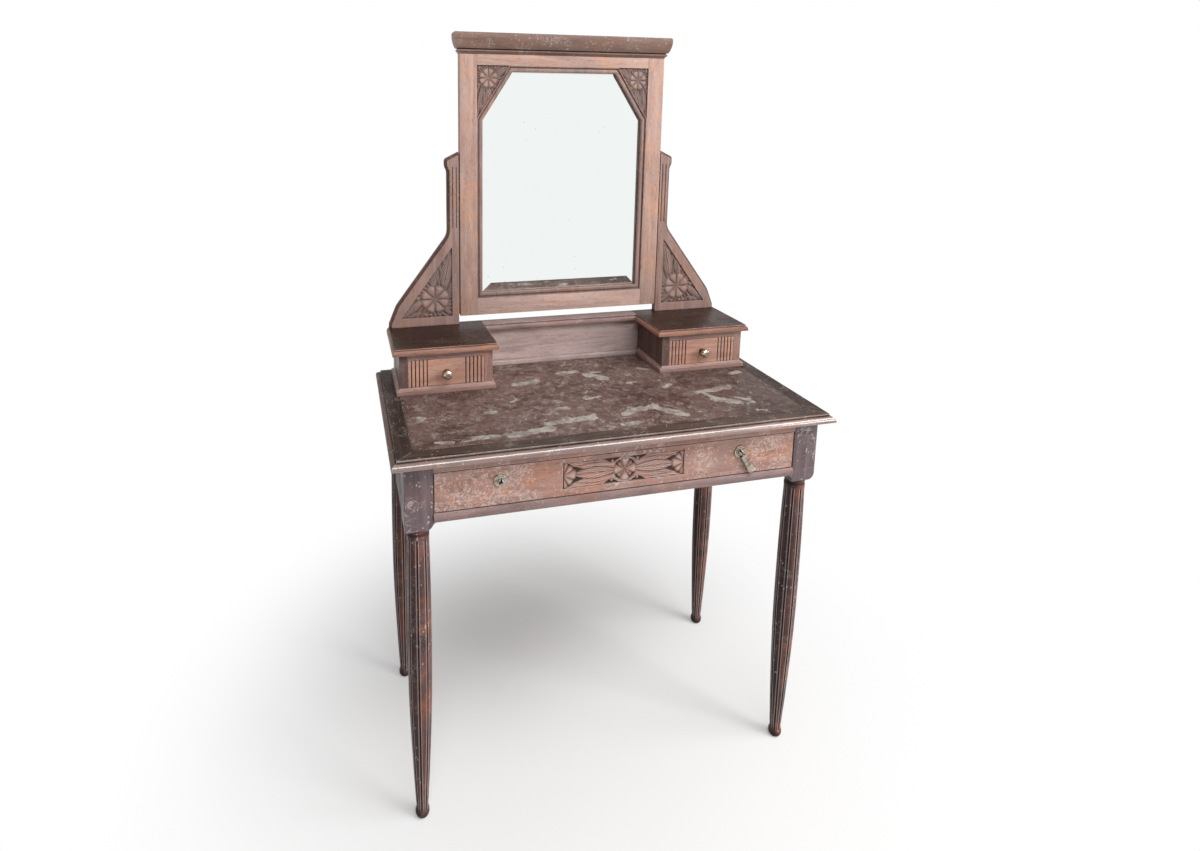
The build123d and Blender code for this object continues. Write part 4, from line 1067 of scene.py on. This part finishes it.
def small_drawer_front(hand):
    """A small drawer's front: five reeds with rounded faces at each end of a flat middle."""
    body = f"{hand}_small_drawer"
    node = body + "_front"
    low, high = limits(node)
    run = np.arange(0, REEDS, 0.4)
    middle = np.linspace(low[0] + REEDS, high[0] - REEDS, 30)
    x = np.concatenate([low[0] + run, middle, high[0] - run[::-1]])
    rim = np.array([0, 0.3, 0.9])
    z = np.concatenate([low[2] + rim, np.linspace(low[2] + 2.5, high[2] - 2.5, 16), high[2] - rim[::-1]])
    x, z = np.meshgrid(x, z)
    into = np.minimum(x - low[0], high[0] - x)
    across = np.abs(((into + 1.2) / REED) % 1.0 * 2 - 1)
    cut = np.where(into < REEDS, 3.0 * ease(across, 0.7, 0.92) + 0.5 * across**2, 0)
    edge = np.minimum(z - low[2], high[2] - z)
    y = low[1] + cut + round_inset(edge, 0.8)
    # Dirt and painted shade between the reeds.
    shape = relief_board(x, y, z, high[1], hollow=0.8 * ease(cut, 1.4, 3.2))
    put(body + "_reeds", shape, timber("amber", "x"), body, [node])


for hand in HANDS:
    small_drawer_front(hand)


# --- Brackets ---

# Each leaf: base, tip, half width, height, belly and spacing of its veins.
# Each bead: middle, radius and height.
BRACKET_LEAVES = (
    ((272, 925), (255, 1006), 14, 3.2, 0.36, 6.0),
    ((297, 925), (285, 966), 9.5, 3.0, 0.4, 5.0),
    ((258, 898), (254, 934), 5.5, 2.6, 0.45, 4.0),
    ((320, 892), (362, 859), 9, 3.2, 0.36, 5.0),
    ((320, 866), (356, 858.5), 4.5, 2.8, 0.4, 4.0),
    ((276, 884), (255, 859), 6, 2.6, 0.6, 4.0),
    ((262, 874), (254, 890), 4, 2.4, 0.5, 4.0),
)
BRACKET_BEADS = (
    ((329, 899), 4.6, 2.8), ((318, 914), 3.6, 2.4), ((301, 861), 4.2, 2.6),
    ((312, 861.5), 4.2, 2.6), ((280, 861), 3.6, 2.2), ((291, 896), 2.6, 2.2),
)


def bracket_carving(hand, side):
    """The carved triangle of a bracket, in the recess of its board.

    Its long side leans in by 112 mm as it climbs by 156 mm from its foot.
    """
    z, share = np.meshgrid(np.arange(857.2, 1009, 0.9), np.linspace(0, 1, 124), indexing="ij")
    far = 364.5 - (z - 857) * 112 / 156
    u = 252.6 + share * (far - 252.8)
    shape = carved_triangle(u, z, side, 207.8, 208.6, 0.75, (291, 896), 32.5, BRACKET_LEAVES, BRACKET_BEADS)
    put(f"{hand}_bracket_carving", shape, timber("carved", "z"), "table", ())


for hand, side in HANDS.items():
    bracket_carving(hand, side)


# --- Mirror ---

MOULD = 13.0  # width of the moulding round the glass
REBATE = 9.5  # how far the moulding is cut away for the glass
SIGHT_HALF, SIGHT_LOW, SIGHT_HIGH = 183.5, 906.7, 1392.0  # the opening in the moulding
SIGHT = np.array([
    (-SIGHT_HALF, SIGHT_LOW), (SIGHT_HALF, SIGHT_LOW), (SIGHT_HALF, 1289.0),
    (117.5, SIGHT_HIGH), (-117.5, SIGHT_HIGH), (-SIGHT_HALF, 1289.0),
])


def grown(corners, by):
    """A polygon's corners moved outwards, so that each side moves by the same distance."""
    side = np.roll(corners, -1, axis=0) - corners
    normal = np.stack([side[:, 1], -side[:, 0]], -1) / np.linalg.norm(side, axis=1)[:, None]
    before = np.roll(normal, 1, axis=0)
    mitre = (normal + before) / (1 + np.sum(normal * before, axis=1))[:, None]
    return corners + by * mitre


def sight_ring(by, y):
    """The outline of the opening, moved outwards by a distance, in the plane y."""
    return np.insert(grown(SIGHT, by), 1, y, axis=1)


def sight_moulding():
    """A moulding carried round the glass, mitred at each corner.

    Its section, from the glass outwards: a step that holds the glass, a low
    half-round band, a narrow groove, and a flat in line with the frame.
    """
    turn = np.linspace(math.pi, 0, 9)
    band = np.stack([4.4 + 3.8 * np.cos(turn), 204.4 - 1.5 * np.sin(turn)], -1)
    groove = np.array([(8.7, 205.4), (9.9, 205.6), (11.0, 205.2), (11.5, 202.4), (MOULD, 202.2)])
    back = np.array([(MOULD, 221.6), (REBATE, 221.6), (REBATE, 209.8), (0.6, 209.8), (0.0, 206.4)])
    section = np.concatenate([band, groove, back])
    count = len(SIGHT)
    points = np.stack([sight_ring(out, y) for out, y in section], 1).reshape(-1, 3)
    # Dirt and painted shade in the groove and by the glass.
    hollow = np.tile(0.45 * ease(section[:, 1], 204.6, 205.4) * (section[:, 1] < 208), count)
    shape = (points, quads(count, len(section), wrap=True, loop=True), {"hollow": hollow})
    put("mirror_sight_moulding", shape, timber("carved", "z"), "mirror", ())


def mirror_frame():
    """Two stiles and two rails with slightly rounded edges."""
    inner = SIGHT_HALF + MOULD
    for hand, side in HANDS.items():
        name = f"mirror_{hand}_stile"
        low, high = limits(name)
        ends = sorted((side * inner, side * FRAME_HALF))
        stack = block((ends[0], low[1], low[2]), (ends[1], high[1], high[2]), 1.0)
        put(name + "_moulded", tubes([stack]), timber("warm", "z"), "mirror", [name])
    for name, foot, top, finish in (
        ("mirror_bottom_rail", 856, SIGHT_LOW - MOULD, "pale"),
        ("mirror_top_rail", SIGHT_HIGH + MOULD, 1428, "warm"),
    ):
        low, high = limits(name)
        stack = block((-inner, low[1], foot), (inner, high[1], top), 0.5, along=0)
        put(name + "_moulded", tubes([stack]), timber(finish, "x"), "mirror", [name])


# Leaves and beads as on the brackets.
CORNER_LEAVES = (
    ((168, 1356), (187, 1292), 9, 3.2, 0.36, 5.0),
    ((186, 1358), (194, 1306), 5.5, 3.0, 0.4, 5.0),
    ((154, 1386), (128, 1403), 6.5, 3.2, 0.36, 4.5),
    ((162, 1399), (142, 1403.5), 3, 2.6, 0.4, 4.0),
    ((150, 1374), (150, 1392), 4, 2.6, 0.5, 4.0),
)
CORNER_BEADS = (
    ((191.5, 1400), 4.4, 2.6), ((192.5, 1364), 3.2, 2.2), ((157, 1360), 3.6, 2.2), ((172, 1378), 2.0, 2.0),
)


def corner_panel(hand, side):
    """A carved triangle in an upper corner of the frame."""
    outer = grown(SIGHT, MOULD)
    reach, top = outer[3]
    inner, foot = outer[2]
    climb = np.arange(foot + 1.0, top - 0.05, 0.8)
    z, share = np.meshgrid(climb, np.linspace(0, 1, 96), indexing="ij")
    near = inner + (reach - inner) * (z - foot) / (top - foot)
    u = near + share * (inner - near)
    shape = carved_triangle(u, z, side, 206.2, 221.4, 0.8, (172, 1378), 21.5, CORNER_LEAVES, CORNER_BEADS)
    replaced = ["mirror_corner_panels"]
    put(f"{hand}_corner_carving", shape, timber("carved", "z"), "mirror", replaced)


def mirror_glass():
    """Silvered glass: a flat middle, and a bevel that thins it towards its edge."""
    edge = REBATE - 1.5
    rings = ((edge, 213.8), (edge, 211.9), (-1.0, 211.9), (-20.0, 210.1))
    shape = tubes([np.stack([sight_ring(by, y) for by, y in rings])])
    put("mirror_glass_bevelled", shape, SILVER, "mirror", ["mirror_glass"], flat=True)


sight_moulding()
mirror_frame()
for hand, side in HANDS.items():
    corner_panel(hand, side)
mirror_glass()


# --- Light, floor and camera ---

WHITE = (1, 1, 1, 1)


def seen_rays(b):
    """1 for the rays of the camera, gloss and clear glass, 0 for those that only light."""
    path = b.add("LightPath", {}).outputs
    return b.larger(b.larger(path["Is Camera Ray"], path["Is Glossy Ray"]), path["Is Transmission Ray"])


def floor():
    """A broad pale floor that turns to plain white away from the table."""
    b, shader, made = material("pale_floor")
    place = b.place()
    b.fill(shader, {
        "Base Color": b.mix(b.noise(place, 3.0, 3.0), (255, 255, 255), (252, 252, 251)),
        "Roughness": 0.9,
        "Specular IOR Level": 0.1,
    })
    white = b.add("Emission", {"Color": WHITE, "Strength": 1.0}).outputs[0]
    fade = b.times(b.step(b.vectors("LENGTH", place)["Value"], 0.15, 1.0), seen_rays(b))
    mixed = b.add("MixShader", {0: fade, 1: shader.outputs[0], 2: white})
    b.fill(made.node_tree.nodes["Material Output"], {"Surface": mixed.outputs[0]})
    mesh = bpy.data.meshes.new("floor")
    wide = 40.0
    corners = [(-wide, -wide, 0), (wide, -wide, 0), (wide, wide, 0), (-wide, wide, 0)]
    mesh.from_pydata(corners, [], [(0, 1, 2, 3)])
    mesh.materials.append(made)
    piece = add_object("floor", mesh)


def lamp(name, place, target, width, depth, power):
    """A soft rectangular lamp that faces a target."""
    light = bpy.data.lights.new(name, "AREA")
    light.shape = "RECTANGLE"
    light.size = width
    light.size_y = depth
    light.energy = power
    piece = add_object(name, light)
    aim = np.array(target, float) - np.array(place, float)
    aim /= np.linalg.norm(aim)
    piece.location = place
    piece.rotation_euler = (math.acos(-aim[2]), 0, math.atan2(aim[1], aim[0]) - math.pi / 2)


def world():
    """Plain white for what the camera and gloss see, and a soft level for light."""
    made = bpy.data.worlds.new("studio")
    made.use_nodes = True
    made.node_tree.nodes.clear()
    b = Bench(made.node_tree)
    soft = b.add("Background", {"Color": WHITE, "Strength": 0.2}).outputs[0]
    white = b.add("Background", {"Color": WHITE, "Strength": 1.0}).outputs[0]
    mixed = b.add("MixShader", {0: seen_rays(b), 1: soft, 2: white}).outputs[0]
    b.add("OutputWorld", {"Surface": mixed})
    bpy.context.scene.world = made


def camera():
    """The camera stands left of the middle at eye height and looks slightly down."""
    data = bpy.data.cameras.new("camera")
    data.lens = 21.435
    data.sensor_width = 36.0
    data.shift_x = 0.0711
    data.shift_y = -0.1637
    data.clip_end = 200
    piece = add_object("camera", data)
    azimuth, elevation, roll = (math.radians(a) for a in (14.066, -9.769, 0.439))
    pose = Matrix.Translation((-0.4933, -1.3226, 1.3198))
    for turn, axis in ((-azimuth, "Z"), (math.pi / 2 + elevation, "X"), (roll, "Z")):
        pose = pose @ Matrix.Rotation(turn, 4, axis)
    piece.matrix_world = pose
    bpy.context.scene.camera = piece


floor()
world()
camera()
lamp("overhead_light", (0.9, -1.5, 3.1), (0.3, -0.1, 0.6), 4.2, 1.0, 92)
lamp("front_right_light", (3.3, -3.0, 2.1), (0, 0, 0.7), 1.6, 1.6, 84)
bpy.context.scene.view_settings.view_transform = "Standard"
